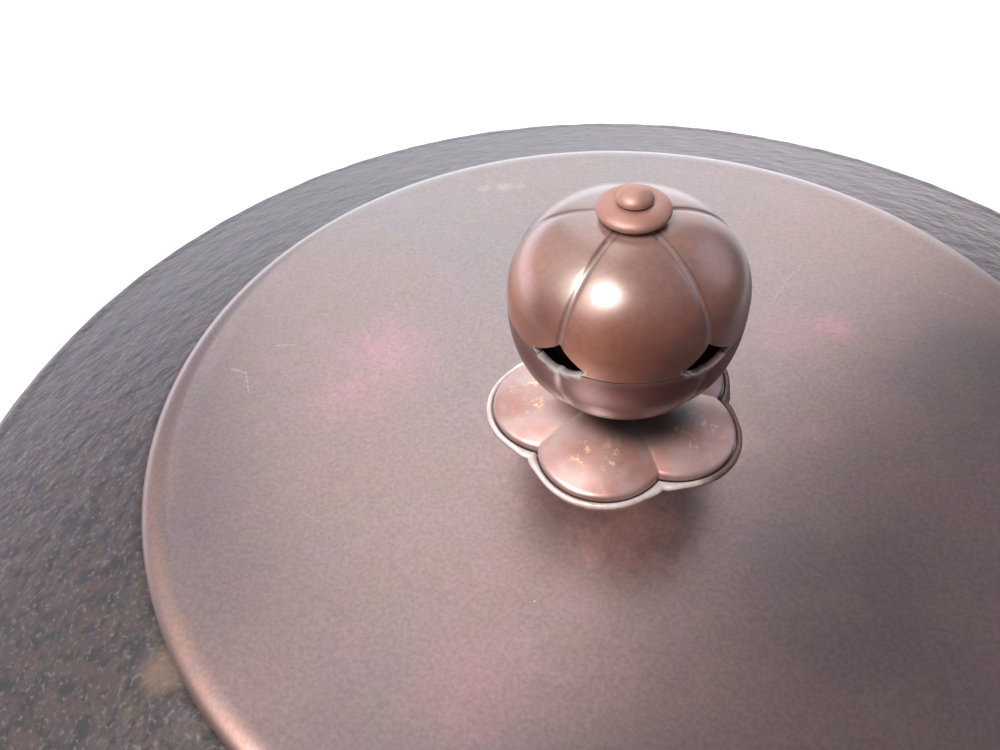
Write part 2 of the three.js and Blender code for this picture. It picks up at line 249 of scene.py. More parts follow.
def turned(name: str, outline: Sequence[Point], steps: int) -> Object:
    """Turn a closed outline about Z into a round piece.

    Args:
        name: Name of the new object.
        outline: Pairs of radius and height.
        steps: Number of steps round.

    Returns:
        The new object, at the origin, with its faces pointing out.
    """
    piece = drawn(name, [Vector((radius, 0, height)) for radius, height in outline], closed=True)
    with editing(piece):
        bpy.ops.mesh.spin(steps=steps, angle=FULL_TURN, center=(0, 0, 0), axis=(0, 0, 1))
        bpy.ops.mesh.select_all(action="SELECT")
        bpy.ops.mesh.remove_doubles(threshold=WELD)
        bpy.ops.mesh.normals_make_consistent(inside=False)
    return piece


def slab(name: str, path: Sequence[Vector], depth: Vector) -> Object:
    """Fill a flat closed outline and extrude it into a slab.

    Args:
        name: Name of the new object.
        path: The outline's places.
        depth: How far and which way the face is extruded.

    Returns:
        The new object, at the origin, with its faces pointing out.
    """
    piece = drawn(name, path, closed=True)
    with editing(piece):
        bpy.ops.mesh.edge_face_add()
        bpy.ops.mesh.extrude_region_move(TRANSFORM_OT_translate={"value": depth})
        bpy.ops.mesh.select_all(action="SELECT")
        bpy.ops.mesh.normals_make_consistent(inside=False)
    return piece


def block(name: str, middle: Vector, size: Vector) -> Object:
    """Make a block of a size about its middle."""
    bpy.ops.mesh.primitive_cube_add(size=1, location=middle, scale=size)
    piece = bpy.context.object
    piece.name = piece.data.name = name
    bpy.ops.object.transform_apply(location=True, rotation=True, scale=True)
    return piece


def finish_with(piece: Object, kind: str, **settings: object) -> None:
    """Add a modifier to a piece with these settings, and apply it."""
    choose(piece)
    modifier = piece.modifiers.new(kind.lower(), kind)
    for name, value in settings.items():
        setattr(modifier, name, value)
    bpy.ops.object.modifier_apply(modifier=modifier.name)


def round_off(piece: Object, width: float, segments: int, sharpest: float) -> None:
    """Round a piece's edges that turn by more than an angle in degrees."""
    limit = math.radians(sharpest)
    finish_with(piece, "BEVEL", width=width, segments=segments, limit_method="ANGLE", angle_limit=limit)


def roughen(piece: Object, depth: float, size: float, depth_steps: int = 2) -> None:
    """Sink a piece's skin here and there along its normals, as a casting or a hammer leaves it.

    Args:
        piece: The piece to roughen.
        depth: The deepest that the skin sinks.
        size: Size of the hollows.
        depth_steps: How many times the pattern is laid over itself at half the size.
    """
    texture = bpy.data.textures.new(f"{piece.name}_skin", "CLOUDS")
    texture.noise_scale = size
    texture.noise_depth = depth_steps
    finish_with(piece, "DISPLACE", texture=texture, texture_coords="LOCAL", strength=depth, mid_level=1.0)


def move_places(piece: Object, moved: Callable[[Vector], Vector]) -> None:
    """Move each vertex of a piece to the place that a formula gives."""
    for vertex in piece.data.vertices:
        vertex.co = moved(vertex.co)
    piece.data.update()


def note_shares(piece: Object, name: str, share: Callable[[Vector], float]) -> None:
    """Keep a value for each vertex of a piece, for its finish to read."""
    kept = piece.data.attributes.new(name, "FLOAT", "POINT")
    kept.data.foreach_set("value", [share(vertex.co) for vertex in piece.data.vertices])


def turn_piece(piece: Object, angle: float) -> None:
    """Turn a piece's mesh about Z by an angle in radians."""
    piece.data.transform(Matrix.Rotation(angle, 4, "Z"))


def joined(pieces: Sequence[Object]) -> Object:
    """Join several objects into the first of them."""
    choose(pieces[0])
    for piece in pieces[1:]:
        piece.select_set(True)
    bpy.ops.object.join()
    return pieces[0]


def cut_out(piece: Object, cutter: Object) -> None:
    """Take a cutter's space out of a piece, and delete the cutter."""
    finish_with(piece, "BOOLEAN", object=cutter, operation="DIFFERENCE", solver="EXACT")
    bpy.data.objects.remove(cutter)


def add_to(piece: Object, other: Object) -> None:
    """Join another solid to a piece as one skin, and delete the other."""
    finish_with(piece, "BOOLEAN", object=other, operation="UNION", solver="EXACT")
    bpy.data.objects.remove(other)


def hand_over(
    piece: Object, body: Body, slot: Slot, finish: Finish, *nodes: str, crease: float = 35
) -> None:
    """Smooth a finished piece, dress it, and set it on its body in place of its nodes.

    Args:
        piece: The finished piece.
        body: The body that it rides on.
        slot: The record's finish that it takes; not used.
        finish: The finish that it wears here.
        nodes: The nodes of the model that it stands for.
        crease: Angle in degrees above which an edge stays sharp.
    """
    choose(piece)
    bpy.ops.object.shade_smooth_by_angle(angle=math.radians(crease))
    piece.data.materials.clear()
    piece.data.materials.append(finish.material())
    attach(piece, body.value)
    if nodes:
        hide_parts(*nodes)
    log.info("%s rides on %s, %d faces", piece.name, body.value, len(piece.data.polygons))


# Finishes


class Nodes:
    """Node tree, with short calls for the nodes that the finishes and the surroundings share."""

    def __init__(self, tree: NodeTree) -> None:
        """Start with an empty tree.

        Args:
            tree: The node tree to fill.
        """
        self.tree = tree
        self.tree.nodes.clear()

    def add(self, kind: str, **settings: object) -> Node:
        """Add a node with these settings."""
        node = self.tree.nodes.new(kind)
        for name, value in settings.items():
            setattr(node, name, value)
        return node

    def feed(self, socket: NodeSocket, value: object) -> None:
        """Link a socket to another, or set it to a plain value.

        Args:
            socket: The input to feed.
            value: A socket, a number, a vector or a colour without alpha.
        """
        if isinstance(value, NodeSocket):
            self.tree.links.new(value, socket)
        elif socket.type == "RGBA":
            socket.default_value = (*value, 1.0)
        else:
            socket.default_value = value

    def math(self, operation: str, *values: Value) -> NodeSocket:
        """Do a sum on one to three values."""
        node = self.add("ShaderNodeMath", operation=operation)
        for socket, value in zip(node.inputs, values):
            self.feed(socket, value)
        return node.outputs[0]

    def vector(self, operation: str, *values: object) -> Node:
        """Do a vector sum on one or two values."""
        node = self.add("ShaderNodeVectorMath", operation=operation)
        for socket, value in zip(node.inputs, values):
            self.feed(socket, value)
        return node

    def band(
        self, value: NodeSocket, low: float, high: float, start: float = 0, end: float = 1
    ) -> NodeSocket:
        """Carry a value smoothly from one range to another.

        Args:
            value: The value to carry.
            low: Value that gives the start.
            high: Value that gives the end.
            start: Result at the low value.
            end: Result at the high value.

        Returns:
            The carried value, held between start and end.
        """
        node = self.add("ShaderNodeMapRange", interpolation_type="SMOOTHSTEP")
        for socket, given in zip(node.inputs, (value, low, high, start, end)):
            self.feed(socket, given)
        return node.outputs[0]

    def tint(self, share: Value, under: Value, over: Value, blend: str = "MIX") -> NodeSocket:
        """Lay one colour over another by a share."""
        node = self.add("ShaderNodeMix", data_type="RGBA", blend_type=blend)
        colours = [socket for socket in node.inputs if socket.type == "RGBA"]
        self.feed(node.inputs[0], share)
        self.feed(colours[0], under)
        self.feed(colours[1], over)
        return next(socket for socket in node.outputs if socket.type == "RGBA")


class Recipe(Nodes):
    """Node tree of one material."""

    def __init__(self, name: str) -> None:
        """Start a material with a bare shader.

        Args:
            name: Name of the material.
        """
        self.material = bpy.data.materials.new(name)
        self.material.use_nodes = True
        super().__init__(self.material.node_tree)
        self.shader = self.add("ShaderNodeBsdfPrincipled")
        output = self.add("ShaderNodeOutputMaterial")
        self.tree.links.new(self.shader.outputs[0], output.inputs["Surface"])
        self.place = self.add("ShaderNodeTexCoord").outputs["Object"]

    def wear(self, **sockets: Value) -> None:
        """Feed the shader's sockets, named in small letters with lines for spaces."""
        for name, value in sockets.items():
            words = name.replace("_", " ").title().replace("Ior", "IOR")
            self.feed(self.shader.inputs[words], value)

    def noise(
        self, size: float, detail: float = 2, rough: float = 0.5, where: NodeSocket | None = None
    ) -> NodeSocket:
        """Give soft noise.

        Args:
            size: Size of its blotches.
            detail: How many finer layers it has.
            rough: How strong the finer layers are.
            where: The places it reads, the object's own by default.

        Returns:
            Values round one half.
        """
        node = self.add("ShaderNodeTexNoise")
        self.feed(node.inputs["Vector"], where or self.place)
        self.feed(node.inputs["Scale"], 1 / size)
        self.feed(node.inputs["Detail"], detail)
        self.feed(node.inputs["Roughness"], rough)
        return node.outputs[0]

    def specks(self, spacing: float, radius: float) -> NodeSocket:
        """Give small round specks.

        Args:
            spacing: How far apart they lie.
            radius: Radius of a speck.

        Returns:
            One in a speck, and zero outside.
        """
        node = self.add("ShaderNodeTexVoronoi")
        self.feed(node.inputs["Vector"], self.place)
        self.feed(node.inputs["Scale"], 1 / spacing)
        return self.band(node.outputs["Distance"], radius / spacing, 0)

    def bump(self, height: NodeSocket, depth: float, after: NodeSocket | None = None) -> NodeSocket:
        """Raise the surface by a height.

        Args:
            height: Values from zero to one.
            depth: Height that one stands for.
            after: A bump that this one is laid over.

        Returns:
            The bumped normal.
        """
        node = self.add("ShaderNodeBump")
        self.feed(node.inputs["Distance"], depth)
        self.feed(node.inputs["Height"], height)
        if after:
            self.feed(node.inputs["Normal"], after)
        return node.outputs[0]

    def kept(self, name: str) -> NodeSocket:
        """Read a value kept for each vertex."""
        return self.add("ShaderNodeAttribute", attribute_name=name).outputs["Fac"]

    def flat_place(self) -> NodeSocket:
        """Give the place with its height taken out."""
        return self.vector("MULTIPLY", self.place, (1, 1, 0)).outputs[0]

    def height(self) -> NodeSocket:
        """Give the height of the place."""
        node = self.add("ShaderNodeSeparateXYZ")
        self.feed(node.inputs[0], self.place)
        return node.outputs["Z"]

    def from_axis(self) -> NodeSocket:
        """Give how far the place is from the axis."""
        return self.vector("LENGTH", self.flat_place()).outputs["Value"]

    def near(self, centre: Point, radius: float, ragged: NodeSocket | None = None) -> NodeSocket:
        """Give a soft round patch, seen from above.

        Args:
            centre: X and Y of its middle.
            radius: Radius at which it has faded out.
            ragged: Noise that makes its edge uneven.

        Returns:
            One in the middle, and zero outside.
        """
        off = self.vector("SUBTRACT", self.flat_place(), (*centre, 0)).outputs[0]
        distance = self.vector("LENGTH", off).outputs["Value"]
        if ragged:
            distance = self.math("MULTIPLY_ADD", ragged, radius, distance)
            distance = self.math("SUBTRACT", distance, radius / 2)
        return self.band(distance, radius, 0)

    def stroke(self, start: Point, end: Point, width: float) -> NodeSocket:
        """Give a fine straight scratch, seen from above.

        Args:
            start: X and Y of one end.
            end: X and Y of the other.
            width: Half width at which it has faded out.

        Returns:
            One along the scratch, and zero outside.
        """
        along = Vector((end[0] - start[0], end[1] - start[1], 0))
        off = self.vector("SUBTRACT", self.flat_place(), (*start, 0)).outputs[0]
        reach = self.vector("DOT_PRODUCT", off, tuple(along / along.length_squared)).outputs["Value"]
        share = self.add("ShaderNodeClamp")
        self.feed(share.inputs["Value"], reach)
        step = self.vector("SCALE", tuple(along))
        self.feed(step.inputs["Scale"], share.outputs[0])
        rest = self.vector("SUBTRACT", off, step.outputs[0]).outputs[0]
        return self.band(self.vector("LENGTH", rest).outputs["Value"], width, 0)


class Finish(ABC):
    """A finish, which builds its material once and gives it to every piece that wears it."""

    name: str

    @abstractmethod
    def dress(self, recipe: Recipe) -> None:
        """Add the finish's nodes to a bare material."""

    def material(self) -> Material:
        """Give the finish's material, and build it the first time."""
        found = bpy.data.materials.get(self.name)
        if found:
            return found
        recipe = Recipe(self.name)
        self.dress(recipe)
        return recipe.material


@dataclass(frozen=True)
class Scratch:
    """A scratch on the lid, between two places."""

    start: Point
    end: Point
    strength: float


@dataclass(frozen=True)
class Patch:
    """A soft round patch on the lid."""

    centre: Point
    radius: float
    strength: float


@dataclass(frozen=True)
class LidPatina(Finish):
    """Brown-grey patina on bronze, with pink and orange blooms, a painted reflection of the knob round the
    seat, fine scratches and specks of dust.
    """

    name: str = "lid_patina"
    grey: Colour = (0.268, 0.192, 0.190)
    brown: Colour = (0.300, 0.194, 0.180)
    olive: Colour = (0.275, 0.215, 0.165)
    stain_and_reflection: Colour = (0.78, 0.42, 0.36)
    pink: Colour = (0.46, 0.215, 0.24)
    orange: Colour = (0.47, 0.20, 0.115)
    gold: Colour = (0.60, 0.48, 0.38)
    edge_brown: Colour = (0.20, 0.115, 0.09)
    dust_and_glint: Colour = (1.0, 0.98, 0.95)
    cloud_size: float = 24 * MM
    mottle_size: float = 3.5 * MM
    blotch_size: float = 6 * MM
    grain_size: float = 0.55 * MM
    scratch_width: float = 0.16 * MM
    rim_radius: float = 64.5 * MM
    rim_width: float = 4.5 * MM
    near_left_way: Way = (-0.8, -0.6, 0.0)
    edge_radii: Point = (63.6 * MM, 64.8 * MM)
    dust_and_glint_spacing: float = 7 * MM
    dust_and_glint_radius: float = 0.16 * MM
    cloud_depth: float = 0.10 * MM
    mottle_depth: float = 0.012 * MM
    grain_depth: float = 0.0035 * MM
    patches: tuple[Patch, ...] = (
        Patch((-33.5 * MM, 6.5 * MM), 11 * MM, 0.6),
        Patch((-37.5 * MM, -2.5 * MM), 8 * MM, 0.4),
        Patch((30.2 * MM, 19.4 * MM), 4.5 * MM, 0.6),
        Patch((24 * MM, 17 * MM), 8 * MM, 0.3),
        Patch((26.4 * MM, -1.7 * MM), 5 * MM, 0.35),
        Patch((-12 * MM, -42.5 * MM), 11 * MM, 0.3),
    )
    scratches: tuple[Scratch, ...] = (
        Scratch((-56.3 * MM, 2.0 * MM), (-53.6 * MM, 1.2 * MM), 0.8),
        Scratch((-53.6 * MM, 1.2 * MM), (-51.9 * MM, -2.6 * MM), 0.5),
        Scratch((-50.8 * MM, 7.2 * MM), (-48.0 * MM, 7.5 * MM), 0.5),
        Scratch((20.9 * MM, 22.7 * MM), (22.6 * MM, 27.4 * MM), 0.25),
        Scratch((22.6 * MM, 27.4 * MM), (25.3 * MM, 32.4 * MM), 0.3),
        Scratch((25.3 * MM, 32.4 * MM), (28.9 * MM, 37.3 * MM), 0.2),
        Scratch((45.2 * MM, 29.6 * MM), (49.6 * MM, 27.2 * MM), 0.45),
        Scratch((6.6 * MM, -20.2 * MM), (7.1 * MM, -23.6 * MM), 0.3),
        Scratch((-37.6 * MM, -22.4 * MM), (-34.6 * MM, -23.8 * MM), 0.25),
    )
    # Reddish patches round the front of the seat: a painted reflection of the knob and seat in the lid,
    # brighter than the patina to lift the dark reflection of the ball there, partly stain.
    stains_and_reflections: tuple[Patch, ...] = (
        Patch((-8 * MM, -14 * MM), 9 * MM, 0.25),
        Patch((3 * MM, -19.5 * MM), 10 * MM, 0.9),
        Patch((1 * MM, -30 * MM), 20 * MM, 0.12),
        Patch((-34 * MM, -44 * MM), 12 * MM, 0.08),
        Patch((14 * MM, -4 * MM), 6 * MM, 0.2),
    )
    smears: tuple[Patch, ...] = (
        Patch((-25.6 * MM, 49.2 * MM), 1.7 * MM, 0.25),
        Patch((-22.4 * MM, 49.9 * MM), 2.2 * MM, 0.3),
        Patch((-19.6 * MM, 50.4 * MM), 1.4 * MM, 0.2),
    )

    def dress(self, recipe: Recipe) -> None:
        """Lay the blooms, the painted reflection round the seat, the rim's colour, the scratches and the
        dust over the patina.
        """
        clouds = recipe.noise(self.cloud_size, detail=3)
        mottle = recipe.noise(self.mottle_size, detail=4, rough=0.6)
        grain = recipe.noise(self.grain_size, detail=3, rough=0.6)
        colour = recipe.tint(recipe.band(clouds, 0.35, 0.65), self.grey, self.brown)
        blotches = recipe.noise(self.blotch_size, detail=4, rough=0.6)
        colour = recipe.tint(recipe.band(blotches, 0.50, 0.66, 0, 0.3), colour, self.olive)
        colour = recipe.tint(recipe.band(blotches, 0.50, 0.34, 0, 0.1), colour, self.pink)
        # The second layer paints the knob's reddish reflection round the seat.
        layers = ((self.pink, self.patches), (self.stain_and_reflection, self.stains_and_reflections), (self.gold, self.smears))
        for over, patches in layers:
            for patch in patches:
                bloom = recipe.near(patch.centre, patch.radius, mottle)
                colour = recipe.tint(recipe.math("MULTIPLY", bloom, patch.strength), colour, over)
        colour = recipe.tint(self.rim_share(recipe, mottle), colour, self.orange)
        broken = recipe.math("MULTIPLY", self.scratch_share(recipe), recipe.band(grain, 0.3, 0.6))
        colour = recipe.tint(broken, colour, self.gold)
        colour = recipe.tint(recipe.specks(self.dust_and_glint_spacing, self.dust_and_glint_radius), colour, self.dust_and_glint)
        tone = recipe.band(grain, 0.2, 0.8, 0.84, 1.16)
        colour = recipe.tint(1.0, colour, tone, "MULTIPLY")
        edge = recipe.band(recipe.from_axis(), *self.edge_radii)
        colour = recipe.tint(edge, colour, self.edge_brown)
        dulled = recipe.math("MULTIPLY_ADD", edge, 0.3, recipe.band(clouds, 0.3, 0.7, 0.27, 0.33))
        wavy = recipe.bump(clouds, self.cloud_depth)
        worked = recipe.bump(mottle, self.mottle_depth, wavy)
        normal = recipe.bump(grain, self.grain_depth, worked)
        recipe.wear(base_color=colour, metallic=0.92, roughness=dulled, normal=normal)
        recipe.wear(coat_weight=1.0, coat_roughness=0.29, coat_ior=1.52)

    def rim_share(self, recipe: Recipe, ragged: NodeSocket) -> NodeSocket:
        """Give how orange the rim is: most at the near left."""
        uneven = recipe.math("MULTIPLY_ADD", ragged, self.rim_width, recipe.from_axis())
        half = self.rim_width / 2
        edge = recipe.band(uneven, self.rim_radius - half, self.rim_radius + half)
        side = recipe.vector("DOT_PRODUCT", recipe.place, self.near_left_way).outputs["Value"]
        near_left = recipe.band(side, self.rim_radius * 0.2, self.rim_radius * 0.9, 0.1, 0.38)
        patchy = recipe.band(ragged, 0.3, 0.65, 0.45, 1.0)
        return recipe.math("MULTIPLY", recipe.math("MULTIPLY", edge, near_left), patchy)

    def scratch_share(self, recipe: Recipe) -> NodeSocket:
        """Give where the scratches are."""
        share: Value = 0.0
        for scratch in self.scratches:
            stroke = recipe.stroke(scratch.start, scratch.end, self.scratch_width)
            share = recipe.math("MAXIMUM", share, recipe.math("MULTIPLY", stroke, scratch.strength))
        return share


@dataclass(frozen=True)
class KnobPatina(Finish):
    """Chocolate-brown bronze, waxed and polished by handling, dark in the grooves."""

    name: str = "knob_patina"
    brown: Colour = (0.125, 0.037, 0.025)
    orange: Colour = (0.210, 0.064, 0.034)
    lit_warm: Colour = (0.36, 0.125, 0.06)
    dark: Colour = (0.045, 0.022, 0.018)
    groove_highlight: Colour = (0.30, 0.19, 0.165)
    top_sheen_colour: Colour = (0.46, 0.30, 0.25)
    pale_light_and_verdigris: Colour = (0.62, 0.64, 0.60)
    wax: float = 0.35
    gloss: float = 2.15
    film: float = 0.15
    top_sheen: float = 0.35
    top_sheen_heights: Point = (180 * MM, 188 * MM)
    cloud_size: float = 10 * MM
    cloud_depth: float = 0.06 * MM
    grain_size: float = 0.6 * MM
    grain_depth: float = 0.006 * MM
    lit_spots: tuple[Patch, ...] = (
        Patch((-13 * MM, -5 * MM), 8 * MM, 0.9),
        Patch((-4 * MM, -14 * MM), 8 * MM, 0.8),
    )

    def dress(self, recipe: Recipe) -> None:
        """Lay worn orange tones and painted light over the brown: warm light on the lit front-left, sheen
        on the top, a highlight in each groove's flat and pale light on the holes' lips; then the dark of
        the grooves and the verdigris round the cap.
        """
        clouds = recipe.noise(self.cloud_size, detail=3)
        grain = recipe.noise(self.grain_size, detail=3)
        colour = recipe.tint(recipe.band(clouds, 0.38, 0.66), self.brown, self.orange)
        # Warm spots are painted light where the lamp falls on the ball's front-left.
        for spot in self.lit_spots:
            bloom = recipe.near(spot.centre, spot.radius, clouds)
            colour = recipe.tint(recipe.math("MULTIPLY", bloom, spot.strength), colour, self.lit_warm)
        # Paler towards the top of the ball: a painted sheen of the bright surroundings.
        high = recipe.band(recipe.height(), *self.top_sheen_heights, 0, self.top_sheen)
        colour = recipe.tint(high, colour, self.top_sheen_colour)
        # Paler in the flat of each groove: a painted highlight.
        colour = recipe.tint(recipe.math("MULTIPLY", recipe.kept("channel"), 0.35), colour, self.groove_highlight)
        colour = recipe.tint(recipe.math("MULTIPLY", recipe.kept("groove"), 0.6), colour, self.dark)
        # Pale on the holes' lips and under them is painted light, strongest on the lit side; round the cap
        # it is verdigris.
        colour = recipe.tint(recipe.kept("lip"), colour, self.pale_light_and_verdigris)
        colour = recipe.tint(1.0, colour, recipe.band(grain, 0.2, 0.8, 0.88, 1.12), "MULTIPLY")
        normal = recipe.bump(grain, self.grain_depth, recipe.bump(clouds, self.cloud_depth))
        recipe.wear(base_color=colour, metallic=0.15, roughness=0.29, ior=self.gloss, normal=normal)
        recipe.wear(specular_tint=(1.0, 0.92, 0.88), coat_weight=self.wax, coat_roughness=0.2, coat_ior=1.7)
        recipe.wear(sheen_weight=self.film, sheen_roughness=0.4, sheen_tint=(1.0, 0.9, 0.85))


@dataclass(frozen=True)
class ShadedDullPatina(KnobPatina):
    """Patina of the ball's lower shell, less handled and waxed, and darker as painted shade on the ball's
    underside.
    """

    name: str = "shaded_dull_knob_patina"
    brown: Colour = (0.10, 0.033, 0.029)
    orange: Colour = (0.145, 0.05, 0.038)
    wax: float = 0.15
    gloss: float = 1.7
    film: float = 0.0
    lit_spots: tuple[Patch, ...] = ()


@dataclass(frozen=True)
class RedCopper(Finish):
    """Reddish copper, satin, worn to gold in specks on its high places."""

    name: str = "red_copper"
    red: Colour = (0.48, 0.22, 0.175)
    pink: Colour = (0.55, 0.345, 0.31)
    gold: Colour = (0.90, 0.55, 0.33)
    dark: Colour = (0.035, 0.022, 0.016)
    wax: float = 0.9
    roughness: Point = (0.38, 0.46)
    cloud_size: float = 5 * MM
    cloud_depth: float = 0.08 * MM
    grain_size: float = 0.6 * MM
    grain_depth: float = 0.006 * MM
    speck_size: float = 1.1 * MM

    def dress(self, recipe: Recipe) -> None:
        """Lay pinker clouds, gold wear, a dark edge and the painted shadow under the ball over the red."""
        clouds = recipe.noise(self.cloud_size, detail=3)
        grain = recipe.noise(self.grain_size, detail=3)
        colour = recipe.tint(recipe.band(clouds, 0.35, 0.65), self.red, self.pink)
        specks = recipe.band(recipe.noise(self.speck_size, detail=4, rough=0.7), 0.53, 0.6)
        worn = recipe.math("MULTIPLY", specks, recipe.kept("wear"))
        colour = recipe.tint(worn, colour, self.gold)
        colour = recipe.tint(recipe.math("MULTIPLY", recipe.kept("crease"), 0.5), colour, self.dark)
        # Painted shadow under the ball, darkest in the middle.
        colour = recipe.tint(recipe.math("MULTIPLY", recipe.kept("shade_and_dirt"), 0.9), colour, self.dark)
        normal = recipe.bump(grain, self.grain_depth, recipe.bump(clouds, self.cloud_depth))
        dulled = recipe.band(grain, 0.3, 0.7, *self.roughness)
        recipe.wear(base_color=colour, metallic=0.5, roughness=dulled, normal=normal)
        recipe.wear(ior=1.7, coat_weight=self.wax, coat_roughness=0.27, coat_ior=1.8)


@dataclass(frozen=True)
class CapCopper(RedCopper):
    """Copper of the cap and the pin, browner and drier than the seat's."""

    name: str = "cap_copper"
    red: Colour = (0.41, 0.18, 0.125)
    pink: Colour = (0.46, 0.235, 0.19)
    wax: float = 0.1
    roughness: Point = (0.5, 0.58)


@dataclass(frozen=True)
class PaleSolder(Finish):
    """Pale solder round the seat, bright where it is rubbed, and brown on the right with dirt and painted
    shade away from the lamp.
    """

    name: str = "pale_solder"
    bright: Colour = (0.70, 0.61, 0.59)
    gold: Colour = (0.66, 0.52, 0.45)
    brown: Colour = (0.15, 0.085, 0.065)
    shade_and_dirt_way: Way = (1.0, 0.35, 0.0)
    shade_and_dirt_size: float = 2.5 * MM
    shade_and_dirt_reach: float = 14 * MM
    shade_and_dirt_range: Point = (11 * MM, 19 * MM)
    gold_size: float = 3 * MM
    grain_size: float = 0.7 * MM
    grain_depth: float = 0.12 * MM

    def dress(self, recipe: Recipe) -> None:
        """Let brown dirt and painted shade take over on the right, away from the lamp."""
        side = recipe.vector("DOT_PRODUCT", recipe.place, self.shade_and_dirt_way).outputs["Value"]
        shade_and_dirt = recipe.noise(self.shade_and_dirt_size, detail=3)
        uneven = recipe.math("MULTIPLY_ADD", shade_and_dirt, self.shade_and_dirt_reach, side)
        golden = recipe.band(recipe.noise(self.gold_size, detail=4), 0.45, 0.6)
        colour = recipe.tint(golden, self.bright, self.gold)
        colour = recipe.tint(recipe.band(uneven, *self.shade_and_dirt_range), colour, self.brown)
        normal = recipe.bump(recipe.noise(self.grain_size, detail=3), self.grain_depth)
        recipe.wear(base_color=colour, metallic=0.3, roughness=0.36, normal=normal)


@dataclass(frozen=True)
class CastSkin(Finish):
    """Grainy cast iron skin: brown, mottled bluish and olive, with small pits and a spot of rust."""

    name: str = "cast_skin"
    brown: Colour = (0.055, 0.025, 0.020)
    blue: Colour = (0.040, 0.022, 0.024)
    olive: Colour = (0.052, 0.034, 0.020)
    dark: Colour = (0.008, 0.005, 0.005)
    bright: Colour = (0.140, 0.105, 0.105)
    rust: Colour = (0.17, 0.10, 0.06)
    dust_and_glint: Colour = (0.8, 0.78, 0.76)
    cloud_size: float = 16 * MM
    cloud_depth: float = 0.25 * MM
    blotch_size: float = 4.5 * MM
    blotch_depth: float = 0.38 * MM
    mottle_size: float = 1.9 * MM
    mottle_depth: float = 0.2 * MM
    olive_size: float = 2.6 * MM
    grain_size: float = 0.8 * MM
    grain_depth: float = 0.05 * MM
    grain_way: Way = (0.77, 0.64, 0.0)
    grain_stretch: float = 0.45
    dust_and_glint_spacing: float = 11 * MM
    dust_and_glint_radius: float = 0.13 * MM
    rust_spot: Patch = Patch((-50.4 * MM, -43.9 * MM), 4.5 * MM, 0.7)

    def dress(self, recipe: Recipe) -> None:
        """Lay the mottling, the pits, the rust and a few white specks, painted glints, over the brown."""
        drawn_out = self.drawn_out(recipe)
        clouds = recipe.noise(self.cloud_size, detail=3)
        blotches = recipe.noise(self.blotch_size, detail=3)
        mottle = recipe.noise(self.mottle_size, where=drawn_out)
        olive = recipe.noise(self.olive_size, where=drawn_out)
        grain = recipe.noise(self.grain_size)
        colour = recipe.tint(recipe.band(blotches, 0.38, 0.62), self.brown, self.blue)
        colour = recipe.tint(recipe.band(olive, 0.50, 0.66, 0, 0.8), colour, self.olive)
        colour = recipe.tint(recipe.band(mottle, 0.52, 0.36, 0, 0.85), colour, self.dark)
        colour = recipe.tint(recipe.band(grain, 0.44, 0.32, 0, 0.6), colour, self.dark)
        colour = recipe.tint(recipe.band(grain, 0.56, 0.70, 0, 0.6), colour, self.bright)
        spot = recipe.near(self.rust_spot.centre, self.rust_spot.radius, blotches)
        colour = recipe.tint(recipe.math("MULTIPLY", spot, self.rust_spot.strength), colour, self.rust)
        # White specks on the iron are painted glints.
        colour = recipe.tint(recipe.specks(self.dust_and_glint_spacing, self.dust_and_glint_radius), colour, self.dust_and_glint)
        broad = recipe.bump(clouds, self.cloud_depth)
        middle = recipe.bump(blotches, self.blotch_depth, broad)
        fine = recipe.bump(mottle, self.mottle_depth, middle)
        normal = recipe.bump(grain, self.grain_depth, fine)
        recipe.wear(base_color=colour, metallic=0.2, roughness=0.55, normal=normal)
        recipe.wear(specular_ior_level=0.6, coat_weight=0.3, coat_roughness=0.38, coat_normal=normal)
        recipe.wear(sheen_weight=1.0, sheen_roughness=0.25, sheen_tint=(1.0, 0.84, 0.84))

    def drawn_out(self, recipe: Recipe) -> NodeSocket:
        """Give places that are drawn out along the way of the grain."""
        along = recipe.vector("DOT_PRODUCT", recipe.place, self.grain_way).outputs["Value"]
        back = recipe.vector("SCALE", self.grain_way)
        recipe.feed(back.inputs["Scale"], recipe.math("MULTIPLY", along, self.grain_stretch))
        return recipe.vector("SUBTRACT", recipe.place, back.outputs[0]).outputs[0]


@dataclass(frozen=True)
class SootySkin(Finish):
    """Cast iron that stands in the fire: near black, matt, with grey ash and rust."""

    name: str = "sooty_skin"
    soot: Colour = (0.030, 0.027, 0.028)
    ash: Colour = (0.085, 0.078, 0.076)
    rust: Colour = (0.11, 0.052, 0.034)
    cloud_size: float = 14 * MM
    cloud_depth: float = 0.3 * MM
    rust_size: float = 6 * MM
    grain_size: float = 0.9 * MM
    grain_depth: float = 0.18 * MM

    def dress(self, recipe: Recipe) -> None:
        """Lay ash and rust over the soot."""
        clouds = recipe.noise(self.cloud_size, detail=4, rough=0.6)
        grain = recipe.noise(self.grain_size, detail=4, rough=0.65)
        colour = recipe.tint(recipe.band(clouds, 0.42, 0.68), self.soot, self.ash)
        rusty = recipe.band(recipe.noise(self.rust_size, detail=4), 0.55, 0.68)
        colour = recipe.tint(recipe.math("MULTIPLY", rusty, 0.8), colour, self.rust)
        normal = recipe.bump(grain, self.grain_depth, recipe.bump(clouds, self.cloud_depth))
        dulled = recipe.band(grain, 0.3, 0.7, 0.62, 0.85)
        recipe.wear(base_color=colour, metallic=0.2, roughness=dulled, normal=normal)


